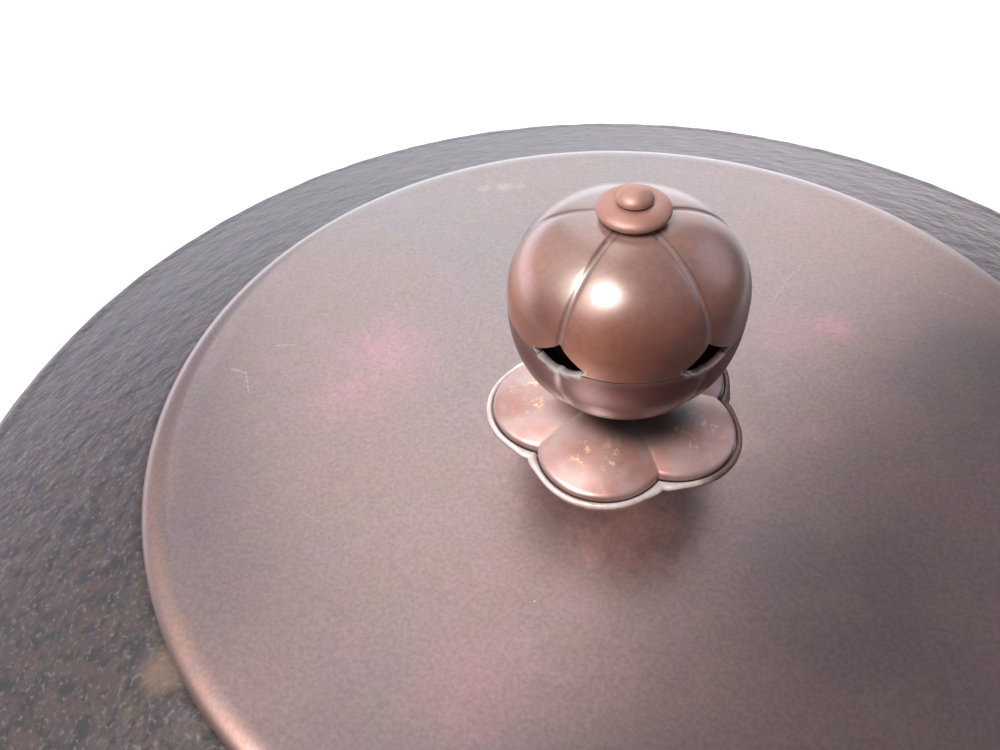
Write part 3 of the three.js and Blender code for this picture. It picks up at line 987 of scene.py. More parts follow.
@dataclass(frozen=True)
class ForgedSkin(Finish):
    """Hammered iron, dark and a little burnished on its high places."""

    name: str = "forged_skin"
    dark: Colour = (0.058, 0.05, 0.052)
    bright: Colour = (0.17, 0.155, 0.155)
    rust: Colour = (0.15, 0.075, 0.045)
    blow_size: float = 4 * MM
    blow_depth: float = 0.2 * MM
    rust_size: float = 3 * MM
    grain_size: float = 0.7 * MM
    grain_depth: float = 0.05 * MM

    def dress(self, recipe: Recipe) -> None:
        """Lay burnished high places and a little rust over the dark scale."""
        blows = recipe.noise(self.blow_size)
        grain = recipe.noise(self.grain_size, detail=4, rough=0.6)
        colour = recipe.tint(recipe.band(blows, 0.45, 0.7), self.dark, self.bright)
        rusty = recipe.band(recipe.noise(self.rust_size, detail=4), 0.6, 0.72, 0, 0.7)
        colour = recipe.tint(rusty, colour, self.rust)
        normal = recipe.bump(grain, self.grain_depth, recipe.bump(blows, self.blow_depth))
        dulled = recipe.band(grain, 0.3, 0.7, 0.42, 0.6)
        recipe.wear(base_color=colour, metallic=0.75, roughness=dulled, normal=normal)


@dataclass(frozen=True)
class DarkLacquer(Finish):
    """Dark lacquer filled with iron filings, laid on with a brush."""

    name: str = "dark_lacquer"
    black: Colour = (0.028, 0.021, 0.019)
    brown: Colour = (0.07, 0.042, 0.032)
    cloud_size: float = 7 * MM
    cloud_depth: float = 0.15 * MM
    grain_size: float = 0.5 * MM
    grain_depth: float = 0.06 * MM

    def dress(self, recipe: Recipe) -> None:
        """Lay browner clouds over the black."""
        clouds = recipe.noise(self.cloud_size, detail=3)
        grain = recipe.noise(self.grain_size, detail=3)
        colour = recipe.tint(recipe.band(clouds, 0.4, 0.65), self.black, self.brown)
        normal = recipe.bump(grain, self.grain_depth, recipe.bump(clouds, self.cloud_depth))
        recipe.wear(base_color=colour, roughness=recipe.band(clouds, 0.3, 0.7, 0.35, 0.55), normal=normal)


@dataclass(frozen=True)
class PaleFloor(Finish):
    """Plain pale floor, which throws less light on the kettle than the camera sees."""

    name: str = "pale_floor"
    white: Colour = (0.93, 0.93, 0.93)
    thrown: Colour = (0.45, 0.45, 0.45)

    def dress(self, recipe: Recipe) -> None:
        """Keep the white for the camera."""
        seen = recipe.add("ShaderNodeLightPath").outputs["Is Camera Ray"]
        recipe.wear(base_color=recipe.tint(seen, self.thrown, self.white), roughness=0.9)


# Kettle body


@dataclass
class KettleBody:
    """Cast body with its sloping shoulder, the pan set into its skirt, its lugs and its sounding plates."""

    mouth_radius: float = 53 * MM
    mouth_height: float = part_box("body_shell")[1].z
    collar_wall: float = 5 * MM
    collar_round: float = 0.8 * MM
    collar_rise: float = 1.1 * MM
    ledge_radius: float = 66 * MM
    ledge_thickness: float = 4.4 * MM
    wall: float = 3.2 * MM
    radius: float = 108.5 * MM
    shoulder_round: float = 10 * MM
    shoulder_drop: float = 26.5 * MM
    shoulder_line: float = 0.35 * MM
    shoulder_line_width: float = 0.9 * MM
    skirt_radius: float = 110 * MM
    skirt_top: float = 64 * MM
    skirt_height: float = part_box("body_shell")[0].z
    ridge_out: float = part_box("body_shell")[1].y - skirt_radius
    pan_wall: float = 2.8 * MM
    pan_radius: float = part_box("bottom_pan")[1].y
    pan_rim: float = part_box("bottom_pan")[1].z
    pan_bend: float = 46 * MM
    pan_longest: float = 2.5 * MM
    foot_rim: float = 0.2 * MM
    foot_radius: float = 56 * MM
    lug_height: float = 98 * MM
    lug_out: float = 117.5 * MM
    lug_eye: float = 4.8 * MM
    lug_nose: float = 8.6 * MM
    lug_half_height: float = 15 * MM
    lug_waist: float = 6 * MM
    lug_width: float = 15 * MM
    lug_root: float = 2 * MM
    lug_round: float = 1.3 * MM
    tenon_width: float = 9 * MM
    tenon_height: float = 13 * MM
    gap: float = 0.3 * MM
    plate_count: int = 3
    steps: int = 480
    coarse_steps: int = 240
    longest: float = 1.5 * MM
    skin_depth: float = 0.28 * MM
    skin_size: float = 5 * MM
    plate_skin_depth: float = 0.12 * MM
    smear_depth: float = 0.25 * MM
    smear_size: float = 4 * MM
    iron: Finish = field(default_factory=CastSkin)
    soot: Finish = field(default_factory=SootySkin)
    lacquer: Finish = field(default_factory=DarkLacquer)
    forged: Finish = field(default_factory=ForgedSkin)

    def build(self) -> None:
        """Build the body from its shell down to the plates inside it."""
        self.build_shell()
        self.build_pan()
        self.build_seam()
        for side in Side:
            self.build_lug(side)
        for index in range(self.plate_count):
            self.build_plate(index)

    @property
    def shoulder_centre(self) -> Point:
        """Centre of the shoulder's rounding."""
        return self.radius - self.shoulder_round, self.mouth_height - self.shoulder_drop

    @property
    def ledge_height(self) -> float:
        """Height of the ledge that the lid's edge lies over."""
        return self.mouth_height - self.collar_rise

    def slope_normal(self) -> float:
        """Angle in degrees of the direction square to the shoulder's slope."""
        across = self.shoulder_centre[0] - self.ledge_radius
        down = self.ledge_height - self.shoulder_centre[1]
        lean = math.acos(self.shoulder_round / math.hypot(across, down))
        return math.degrees(math.pi - math.atan2(down, across) - lean)

    def outside(self) -> list[Point]:
        """Give the outline of the outside, from the mouth to the skirt's lower edge."""
        collar = (self.mouth_radius + self.collar_round, self.mouth_height - self.collar_round)
        collar_out = (self.mouth_radius + self.collar_wall - self.collar_round, collar[1])
        rounding = (self.collar_round, self.collar_round)
        ridge_height = (self.skirt_top - self.skirt_height) / 4
        ridge = (self.skirt_radius, self.skirt_top - 1.5 * ridge_height)
        shoulder = (self.shoulder_round, self.shoulder_round)
        return [
            *arc(collar, rounding, (180, 90), 4),
            *arc(collar_out, rounding, (90, 0), 4),
            (self.mouth_radius + self.collar_wall, self.ledge_height),
            (self.ledge_radius, self.ledge_height),
            *arc(self.shoulder_centre, shoulder, (self.slope_normal(), 0), 12),
            (self.skirt_radius, self.skirt_top),
            *arc(ridge, (self.ridge_out, ridge_height), (60, -60), 6),
            (self.skirt_radius, self.skirt_height),
        ]

    def inside(self) -> list[Point]:
        """Give the outline of the inside, from the skirt's lower edge to the mouth."""
        angle = math.radians(self.slope_normal())
        small = self.shoulder_round - self.wall
        underside = self.ledge_height - self.ledge_thickness
        start_radius = self.shoulder_centre[0] + small * math.cos(angle)
        start_height = self.shoulder_centre[1] + small * math.sin(angle)
        ledge_inside = start_radius - (underside - start_height) * math.tan(angle)
        return [
            (self.skirt_radius - self.wall, self.skirt_height),
            (self.skirt_radius - self.wall, self.skirt_top),
            *arc(self.shoulder_centre, (small, small), (0, self.slope_normal()), 8),
            (ledge_inside, underside),
            (self.mouth_radius, underside),
        ]

    def build_shell(self) -> None:
        """Build the shell with the tenons' holes, the faint line on its shoulder and its cast skin."""
        outline = [*divided(self.outside(), self.longest), *divided(self.inside(), 3 * self.longest)]
        shell = turned("shell_casting", outline, self.steps)
        cut_out(shell, joined([self.tenon(side, self.gap, 2 * self.wall) for side in Side]))
        lean = math.radians(self.slope_normal())
        line_radius = self.shoulder_centre[0] + self.shoulder_round * math.cos(lean)

        def raised(place: Vector) -> Vector:
            """Raise the faint line along the top of the shoulder's rounding."""
            if place.z < self.shoulder_centre[1] + self.shoulder_round / 2:
                return place
            near = bell(radius_of(place) - line_radius, self.shoulder_line_width)
            return place + Vector((0, 0, self.shoulder_line * near))

        move_places(shell, raised)
        roughen(shell, self.skin_depth, self.skin_size, 3)
        hand_over(shell, Body.KETTLE, Slot.CAST_IRON, self.iron, "body_shell")

    def build_pan(self) -> None:
        """Build the bottom pan: an upright rim, a quarter of an ellipse and a flat foot."""
        bend = (self.foot_radius, self.pan_bend)
        width = self.pan_radius - self.foot_radius
        outline = [
            (0, 0),
            *arc(bend, (width, self.pan_bend), (-90, 0), 24),
            (self.pan_radius, self.pan_rim),
            (self.pan_radius - self.pan_wall, self.pan_rim),
            *arc(bend, (width - self.pan_wall, self.pan_bend - self.pan_wall), (0, -90), 20),
            (0, self.pan_wall),
        ]
        pan = turned("pan_casting", divided(outline, self.pan_longest), self.coarse_steps)
        finish_with(pan, "DISPLACE", **self.pan_skin(pan))
        hand_over(pan, Body.KETTLE, Slot.CAST_IRON, self.soot, "bottom_pan")

    def pan_skin(self, pan: Object) -> dict[str, object]:
        """Give the settings that roughen the pan everywhere but on the flat of its foot."""
        group = pan.vertex_groups.new(name="rough")
        above = [vertex.index for vertex in pan.data.vertices if vertex.co.z > self.foot_rim]
        group.add(above, 1.0, "REPLACE")
        texture = bpy.data.textures.new("pan_skin", "CLOUDS")
        texture.noise_scale = self.skin_size
        return {
            "texture": texture,
            "texture_coords": "LOCAL",
            "strength": self.skin_depth,
            "mid_level": 1.0,
            "vertex_group": group.name,
        }

    def build_seam(self) -> None:
        """Build the fillet of lacquer in the corner under the skirt."""
        low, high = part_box("seam_lacquer")
        inside = self.pan_radius + self.gap
        width = high.y - inside
        hollow = arc((inside + width, low.z), (width, high.z - low.z), (180, 90), 8)
        seam = turned("seam_smear", [*hollow, (inside, high.z)], self.coarse_steps)
        roughen(seam, self.smear_depth, self.smear_size)
        hand_over(seam, Body.KETTLE, Slot.LACQUER, self.lacquer, "seam_lacquer")

    def tenon(self, side: Side, clearance: float, depth: float) -> Object:
        """Make the block that locks a lug in the wall, or that cuts its hole.

        Args:
            side: The side of the kettle.
            clearance: Room round the block.
            depth: How far it reaches across the wall, about the wall's middle.

        Returns:
            The block.
        """
        half_width = self.tenon_width / 2 + clearance
        half_height = self.tenon_height / 2 + clearance
        middle = self.wall_radius(self.lug_height) - self.wall / 2
        corners = [(-1, -1), (1, -1), (1, 1), (-1, 1)]
        near = side.value * (middle - depth / 2)
        path = [Vector((near, y * half_width, self.lug_height + z * half_height)) for y, z in corners]
        return slab("tenon", path, Vector((side.value * depth, 0, 0)))

    def wall_radius(self, height: float) -> float:
        """Give the outer radius of the side wall, which widens down to the skirt."""
        flare = (self.skirt_radius - self.radius) / (self.shoulder_centre[1] - self.skirt_top)
        return self.radius + flare * (self.shoulder_centre[1] - height)

    def build_lug(self, side: Side) -> None:
        """Build one lug: a hill-shaped ear with a bell-mouthed eye, softened as castings are."""
        back = (self.radius - self.lug_root - self.lug_out, self.lug_half_height)
        nose = arc((0, 0), (self.lug_nose, self.lug_nose), (90, -90), 18)
        top = bent(back, (-self.lug_waist, self.lug_nose), (0.0, self.lug_nose), 8)[:-1]
        bottom = [(across, -up) for across, up in reversed(top)]
        path = [
            Vector((side.value * (self.lug_out + across), -self.lug_width / 2, self.lug_height + up))
            for across, up in [*top, *nose, *bottom]
        ]
        lug = slab(f"lug_casting_{side.name.lower()}", path, Vector((0, self.lug_width, 0)))
        eye = arc((0, 0), (self.lug_eye, self.lug_eye), (0, 345), 23)
        reach = self.lug_width
        rim = [
            Vector((side.value * (self.lug_out + across), -reach, self.lug_height + up))
            for across, up in eye
        ]
        cut_out(lug, slab("eye", rim, Vector((0, 2 * reach, 0))))
        round_off(lug, self.lug_round, 4, 50)
        cut_out(lug, self.wall_core())
        add_to(lug, self.tenon(side, 0, self.wall))
        hand_over(lug, Body.KETTLE, Slot.CAST_IRON, self.iron, f"lug_{side.name.lower()}", crease=40)

    def wall_core(self) -> Object:
        """Make the space inside the side wall, and a gap beyond it."""
        low = self.wall_radius(self.skirt_top) + self.gap
        high = self.radius + self.gap
        top = self.shoulder_centre[1]
        outline = [(0, self.skirt_top), (low, self.skirt_top), (high, top), (0, top)]
        return turned("core", outline, self.coarse_steps)

    def build_plate(self, index: int) -> None:
        """Build one sounding plate and the lacquer pad under it."""
        for name, node, slot, finish in (
            ("singing_plate", "sounding_plate", Slot.FORGED_IRON, self.forged),
            ("plate_pad", "plate_lacquer", Slot.LACQUER, self.lacquer),
        ):
            low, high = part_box(f"{node}_1")
            size = high - low
            plate = block(f"{name}_{index + 1}", (low + high) / 2, size)
            with editing(plate):
                bpy.ops.mesh.bevel(offset=size.z / 3, segments=3, affect="EDGES")
                bpy.ops.mesh.select_all(action="SELECT")
                bpy.ops.mesh.subdivide(number_cuts=5)
            roughen(plate, self.plate_skin_depth, self.skin_size)
            turn_piece(plate, index * FULL_TURN / self.plate_count)
            hand_over(plate, Body.KETTLE, slot, finish, f"{node}_{index + 1}")


# Lifting rings


@dataclass
class LiftingRings:
    """Two open rings, hammered from round bar, that hang in the lugs."""

    radius: float = 28 * MM
    wire: float = 2.7 * MM
    gap: float = 5 * MM
    section_sides: int = 20
    steps: int = 110
    end_round: float = 0.8 * MM
    skin_depth: float = 0.3 * MM
    skin_size: float = 5 * MM
    forged: Finish = field(default_factory=ForgedSkin)

    def build(self) -> None:
        """Build both rings."""
        for side in Side:
            self.build_ring(side)

    def build_ring(self, side: Side) -> None:
        """Build one ring by spinning the bar's section round, with a gap at one side and rounded ends."""
        node = f"ring_{side.name.lower()}"
        low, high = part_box(node)
        middle = (low + high) / 2
        centre = Vector((middle.x, 0, high.z - self.wire - self.radius))
        half_gap = (self.gap / 2 + self.wire) / self.radius
        bpy.ops.mesh.primitive_circle_add(vertices=self.section_sides, radius=self.wire, fill_type="NGON")
        ring = bpy.context.object
        ring.name = ring.data.name = f"ring_forging_{side.name.lower()}"
        start = centre + Vector((0, 0, self.radius))
        ring.data.transform(Matrix.Translation(start) @ Matrix.Rotation(math.pi / 2, 4, "X"))
        quarter = Matrix.Rotation(-side.value * (math.pi / 2 - half_gap), 4, "X")
        ring.data.transform(Matrix.Translation(centre) @ quarter @ Matrix.Translation(-centre))
        whole = side.value * (FULL_TURN - 2 * half_gap)
        with editing(ring):
            bpy.ops.mesh.spin(steps=self.steps, angle=whole, center=centre, axis=(1, 0, 0))
            bpy.ops.mesh.select_all(action="SELECT")
            bpy.ops.mesh.remove_doubles(threshold=WELD)
            bpy.ops.mesh.normals_make_consistent(inside=False)
        round_off(ring, self.end_round, 3, 60)
        roughen(ring, self.skin_depth, self.skin_size)
        body = Body.RIGHT_RING if side is Side.RIGHT else Body.LEFT_RING
        hand_over(ring, body, Slot.FORGED_IRON, self.forged, node)


# Lid


@dataclass
class Lid:
    """Domed bronze lid, the ring under it that drops into the mouth, and the washer under its pin."""

    base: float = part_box("lid_plate")[0].z
    radius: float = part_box("lid_plate")[1].y
    edge_run: float = 4.2 * MM
    edge_rise: float = 1.85 * MM
    dome: float = 1.95 * MM
    wall: float = 2 * MM
    rest_width: float = 15.5 * MM
    pin_hole: float = 1.8 * MM
    ring_wall: float = 2 * MM
    steps: int = 360
    bronze: Finish = field(default_factory=LidPatina)

    def top(self, radius: float) -> float:
        """Give the height of the upper face over the lid's lower edge, inside the rounded edge."""
        share = radius / (self.radius - self.edge_run)
        return self.edge_rise + self.dome * (1 - share * share)

    def build(self) -> None:
        """Build the plate, the ring and the washer."""
        flat = self.radius - self.edge_run
        rest = self.radius - self.rest_width
        upper = [self.pin_hole + (flat - self.pin_hole) * step / 24 for step in range(24)]
        lower = [self.pin_hole + (rest - self.pin_hole) * step / 10 for step in range(10, -1, -1)]
        outline = [
            *((radius, self.top(radius)) for radius in upper),
            *arc((flat, 0), (self.edge_run, self.edge_rise), (90, 0), 20),
            (rest + self.wall, 0),
            *((radius, self.top(radius) - self.wall) for radius in lower),
        ]
        raised = [(radius, self.base + height) for radius, height in outline]
        plate = turned("lid_casting", raised, self.steps)
        hand_over(plate, Body.LID, Slot.LID_BRONZE, self.bronze, "lid_plate", crease=50)
        self.build_ring()
        self.build_washer()

    def build_ring(self) -> None:
        """Build the locating ring, with its lower outer corner taken off."""
        low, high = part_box("lid_locating_ring")
        inside = high.y - self.ring_wall
        corner = self.ring_wall / 2
        outline = [
            (inside, low.z),
            (inside, high.z),
            (high.y, high.z),
            (high.y, low.z + corner),
            *arc((high.y - corner, low.z + corner), (corner, corner), (0, -90), 6),
        ]
        ring = turned("lid_spigot", outline, self.steps)
        hand_over(ring, Body.LID, Slot.LID_BRONZE, self.bronze, "lid_locating_ring")

    def build_washer(self) -> None:
        """Build the washer that the pin's legs lie on."""
        low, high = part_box("under_washer")
        half = (high.z - low.z) / 2
        edge = arc((high.y - half, low.z + half), (half, half), (-90, 90), 6)
        washer = turned("lid_washer", [(self.pin_hole, low.z), *edge, (self.pin_hole, high.z)], 96)
        hand_over(washer, Body.LID, Slot.LID_BRONZE, self.bronze, "under_washer")


# Knob


@dataclass
class KnobSeat:
    """Plum blossom of five puffed petals under the ball, with a line of solder round it."""

    lid: Lid
    petal_count: int = 5
    petal_radius: float = 8.3 * MM
    petal_out: float = 8.2 * MM
    petal_puff: float = 1.4 * MM
    edge: float = 0.7 * MM
    rise: float = 2.6 * MM
    rise_power: float = 1.5
    round_share: float = 0.07
    round_fall_share: float = 0.6
    rings: int = 44
    crowding: float = 1.5
    turn: float = math.radians(-9)
    gap: float = 0.3 * MM
    solder_width: float = 0.8 * MM
    solder_height: float = 0.42 * MM
    notch_share: float = 0.8
    notch_spread: float = 0.12
    wear_off: float = 0.17
    wear_spread: float = 0.09
    wear_radius: float = 11 * MM
    wear_width: float = 3.5 * MM
    crease_width: float = 0.25 * MM
    shadow_middle: Point = (2.5 * MM, -1 * MM)
    shadow_radius: float = 6 * MM
    shadow_fade: float = 2.2 * MM
    steps: int = 360
    copper: Finish = field(default_factory=RedCopper)
    solder: Finish = field(default_factory=PaleSolder)

    def outline(self, azimuth: float) -> float:
        """Give the radius of the seat's edge at an azimuth."""
        off = nearest_turn(azimuth - self.turn, self.petal_count)
        across = self.petal_out * math.sin(off)
        return self.petal_out * math.cos(off) + math.sqrt(self.petal_radius**2 - across**2)

    def thickness(self, radius: float, azimuth: float) -> float:
        """Give the seat's thickness: each petal is puffed, and all rise to a flat crown."""
        off = nearest_turn(azimuth - self.turn, self.petal_count)
        along = radius * math.cos(off) - self.petal_out
        share = min(1, math.hypot(radius * math.sin(off), along) / self.petal_radius)
        middle = max(0, 1 - radius / (self.petal_out + self.petal_radius))
        puffed = self.petal_puff * (1 - share**2) + self.rise * middle**self.rise_power
        return self.edge * self.rounded(share) + min(self.rise, puffed)

    def rounded(self, share: float) -> float:
        """Give the share of the edge's height that is left close to the petal's edge, which is rounded."""
        past = max(0.0, share - 1 + self.round_share) / self.round_share
        return 1 - self.round_fall_share * (1 - math.sqrt(max(0.0, 1 - past**2)))

    def build(self) -> None:
        """Build the blossom from a turned washer of unit width, and the solder round it."""
        outline = [(1.0, 0.0), (1.5, 0.0), (2.0, 0.0)]
        for step in range(self.rings + 1):
            outline.append((2 - (step / self.rings) ** self.crowding, 1.0))
        seat = turned("blossom_seat", outline, self.steps)
        move_places(seat, self.seat_place)
        note_shares(seat, "wear", self.wear_share)
        note_shares(seat, "crease", self.crease_share)
        note_shares(seat, "shade_and_dirt", self.shadow_share)
        hand_over(seat, Body.LID, Slot.COPPER, self.copper, "knob_seat", crease=60)
        self.build_solder()

    def seat_place(self, place: Vector) -> Vector:
        """Give the seat's place for a place on the unit washer."""
        azimuth = azimuth_of(place)
        share = radius_of(place) - 1
        bore = self.lid.pin_hole
        radius = bore + share * (self.outline(azimuth) - bore)
        height = self.lid.base + self.lid.top(radius) + self.gap
        if place.z > 0.5:
            height += self.thickness(radius, azimuth)
        return place_at(azimuth, radius, height)

    def wear_share(self, place: Vector) -> float:
        """Give how worn the copper is: most on the middle of each petal's sides."""
        off = nearest_turn(azimuth_of(place) - self.turn, self.petal_count)
        side = bell(abs(off) - self.wear_off, self.wear_spread)
        return side * bell(radius_of(place) - self.wear_radius, self.wear_width)

    def crease_share(self, place: Vector) -> float:
        """Give how close a place is to the petals' edges."""
        inset = self.outline(azimuth_of(place)) - radius_of(place)
        return math.exp(-inset / self.crease_width)

    def shadow_share(self, place: Vector) -> float:
        """Give how much painted shadow a place takes: most in the middle, under the ball."""
        out = math.dist(place.xy, self.shadow_middle) - self.shadow_radius
        return bell(max(0.0, out), self.shadow_fade)

    def build_solder(self) -> None:
        """Build the line of solder, a low rounded strip that follows the blossom's edge."""
        solder = turned("seat_solder", arc((1.5, 0.0), (0.5, 1.0), (0, 180), 8), self.steps)

        def laid(place: Vector) -> Vector:
            """Lay the unit strip round the blossom."""
            azimuth = azimuth_of(place)
            share = radius_of(place) - 1
            off = abs(nearest_turn(azimuth - self.turn, self.petal_count))
            notch = 1 + self.notch_share * bell(off - math.pi / self.petal_count, self.notch_spread)
            radius = self.outline(azimuth) + self.gap / 3 + share * self.solder_width * notch
            height = self.lid.base + self.lid.top(radius) + self.gap / 6 + place.z * self.solder_height
            return place_at(azimuth, radius, height)

        move_places(solder, laid)
        hand_over(solder, Body.LID, Slot.COPPER, self.solder, crease=60)


@dataclass
class Ball:
    """Hollow ball in two shells, drawn in along five upright grooves and pierced on each of them."""

    lid: Lid
    groove_count: int = 5
    radius: float = 14.25 * MM
    height: float = 24.4 * MM
    rise: float = 11.2 * MM
    drop: float = 15.2 * MM
    wall: float = 0.9 * MM
    seam: float = 23.3 * MM
    seam_gap: float = 0.16 * MM
    top_powers: Point = (2.2, 2.3)
    bottom_powers: Point = (2.2, 2.5)
    turn: float = math.radians(-29)
    panel_depth: float = 0.3 * MM
    groove_depth: float = 0.11 * MM
    groove_width: float = 0.4 * MM
    groove_line: float = 0.14 * MM
    groove_start: float = 4 * MM
    cap_radius: float = 4.2 * MM
    hole_half_width: float = 3.6 * MM
    hole_tip: float = 0.6 * MM
    hole_peak: float = 3.1 * MM
    hole_drop: float = 1.0 * MM
    hole_hollow_share: float = 0.4
    lip_width: float = 0.22 * MM
    lip_reach: float = 0.5 * MM
    lip_fade: float = 0.25 * MM
    trail_share: float = 0.13
    trail_drop: float = 1.5 * MM
    trail_length: float = 1.4 * MM
    ring_gap: float = 0.1 * MM
    ring_width: float = 0.25 * MM
    line_width: float = 0.2 * MM
    steps: int = 600
    bronze: Finish = field(default_factory=KnobPatina)
    shaded_dull_bronze: Finish = field(default_factory=ShadedDullPatina)

    def curve(self, wall: float, upper: bool, angles: Point, steps: int) -> list[Point]:
        """Give points of the ball's squarish outline on one side of its widest height.

        Args:
            wall: How far inside the outer face the points lie.
            upper: Whether they are above the widest height.
            angles: First and last angle in radians, from the widest height to the pole.
            steps: Number of steps between them.

        Returns:
            Pairs of radius and height over the lid's lower edge.
        """
        powers = self.top_powers if upper else self.bottom_powers
        reach = (self.rise if upper else self.drop) - wall
        points = []
        for step in range(steps + 1):
            angle = angles[0] + (angles[1] - angles[0]) * step / steps
            radius = (self.radius - wall) * max(0.0, math.cos(angle)) ** (2 / powers[0])
            climb = reach * math.sin(angle) ** (2 / powers[1])
            points.append((radius, self.height + (climb if upper else -climb)))
        return points

    def pole_angle(self, wall: float, upper: bool) -> float:
        """Give the angle at which the outline comes to the pin's hole."""
        power = (self.top_powers if upper else self.bottom_powers)[0]
        return math.acos((self.lid.pin_hole / (self.radius - wall)) ** (power / 2))

    def seam_angle(self, seam: float, wall: float) -> float:
        """Give the angle at which the lower outline comes to the seam."""
        share = (self.height - seam) / (self.drop - wall)
        return math.asin(share ** (self.bottom_powers[1] / 2))

    def lower_half(self, wall: float, steps: int) -> list[Point]:
        """Give the lower shell's outline from the seam down to the pin's hole."""
        start = self.seam_angle(self.seam - self.seam_gap / 2, wall)
        return self.curve(wall, False, (start, self.pole_angle(wall, False)), steps)

    def upper_half(self, wall: float, steps: int) -> list[Point]:
        """Give the upper shell's outline from the seam up to the pin's hole."""
        start = self.seam_angle(self.seam + self.seam_gap / 2, wall)
        skirt = self.curve(wall, False, (start, 0), 3)
        return [*skirt, *self.curve(wall, True, (0, self.pole_angle(wall, True)), steps)[1:]]

    def build(self) -> None:
        """Build the lower and the upper shell."""
        lower = [*self.lower_half(0, 34), *reversed(self.lower_half(self.wall, 12))]
        upper = [*self.upper_half(0, 38), *reversed(self.upper_half(self.wall, 12))]
        self.build_shell("ball_bowl", lower, "knob_lower_shell", self.shaded_dull_bronze)
        self.build_shell("ball_crown", upper, "knob_upper_shell", self.bronze)

    def build_shell(self, name: str, outline: list[Point], node: str, finish: Finish) -> None:
        """Build one shell with its grooves and its share of the pierced holes."""
        shell = turned(name, outline, self.steps)
        move_places(shell, self.grooved)
        cut_out(shell, joined([self.hole_cutter(index) for index in range(self.groove_count)]))
        note_shares(shell, "groove", self.groove_share)
        note_shares(shell, "channel", self.channel_share)
        note_shares(shell, "lip", self.lit_lip_and_verdigris_share)
        turn_piece(shell, self.turn)
        shell.data.transform(Matrix.Translation((0, 0, self.lid.base)))
        hand_over(shell, Body.LID, Slot.KNOB_BRONZE, finish, node, crease=40)

    def groove_off(self, place: Vector) -> float:
        """Give the distance of a place from the nearest groove."""
        return nearest_turn(azimuth_of(place), self.groove_count) * radius_of(place)

    def grooved(self, place: Vector) -> Vector:
        """Draw a place in towards the axis: broadly between the panels, and sharply in the grooves."""
        radius = radius_of(place)
        half_panel = math.pi / self.groove_count
        off = abs(nearest_turn(azimuth_of(place), self.groove_count)) / half_panel
        broad = self.panel_depth * (1 - math.sin(math.pi / 2 * off)) ** 2 * radius / self.radius
        sharp = self.groove_depth * self.channel_share(place)
        sunk = (broad + sharp) * min(1.0, radius / self.groove_start)
        pole = place.z - self.height
        steep = Vector((place.x / self.radius, place.y / self.radius, pole / self.drop)).normalized()
        return place - steep * sunk

    def channel_share(self, place: Vector) -> float:
        """Give whether a place is in the flat of a groove."""
        return bell(self.groove_off(place), self.groove_width)

    def groove_share(self, place: Vector) -> float:
        """Give whether a place is in the dark line along one of a groove's edges."""
        return bell(abs(self.groove_off(place)) - self.groove_width, self.groove_line)

    def lit_lip_and_verdigris_share(self, place: Vector) -> float:
        """Give how pale a place is: painted light on the holes' lower lips and under them, strongest on the
        lit front-left, and verdigris round the cap.
        """
        across = self.groove_off(place) / self.hole_half_width
        low = self.seam + self.hole_tip - (self.hole_tip + self.hole_drop) * (1 - min(1.0, across * across))
        down = low - place.z
        radius = radius_of(place)
        outer = bell(max(0.0, self.radius - radius - self.lip_reach), self.lip_fade)
        lip = bell(down, self.lip_width) * outer if abs(across) < 1 else 0.0
        trail = bell(across, self.trail_share) * bell(down - self.trail_drop, self.trail_length)
        # Painted light: the lips and trails fade away from the lit front-left.
        side = ((1 + math.cos(azimuth_of(place))) / 2) ** 2
        ring = bell(radius - self.cap_radius - self.ring_gap, self.ring_width) * (place.z > self.height)
        line = bell(self.seam - self.seam_gap - place.z, self.line_width) * (place.z < self.seam)
        return min(1.0, side * (0.8 * lip + 0.4 * trail) + 0.15 * ring + 0.08 * line)

    def hole_cutter(self, index: int) -> Object:
        """Make the cutter of one pierced hole: a pointed arch over a shallow bowl, facing outwards."""
        half, tip, peak = self.hole_half_width, self.hole_tip, self.hole_peak
        hollow = (half * self.hole_hollow_share, (tip + peak) / 2)
        bowl = (0.0, -2 * self.hole_drop - tip)
        right = bent((half, tip), hollow, (0.0, peak), 8)
        left = [(-across, up) for across, up in reversed(right)]
        under = bent(left[-1], bowl, (half, tip), 14)
        points = [*right, *left[1:], *under[1:-1]]
        path = [Vector((across, -self.radius / 2, self.seam + up)) for across, up in points]
        cutter = slab("hole", path, Vector((0, -self.radius, 0)))
        turn_piece(cutter, index * FULL_TURN / self.groove_count)
        return cutter


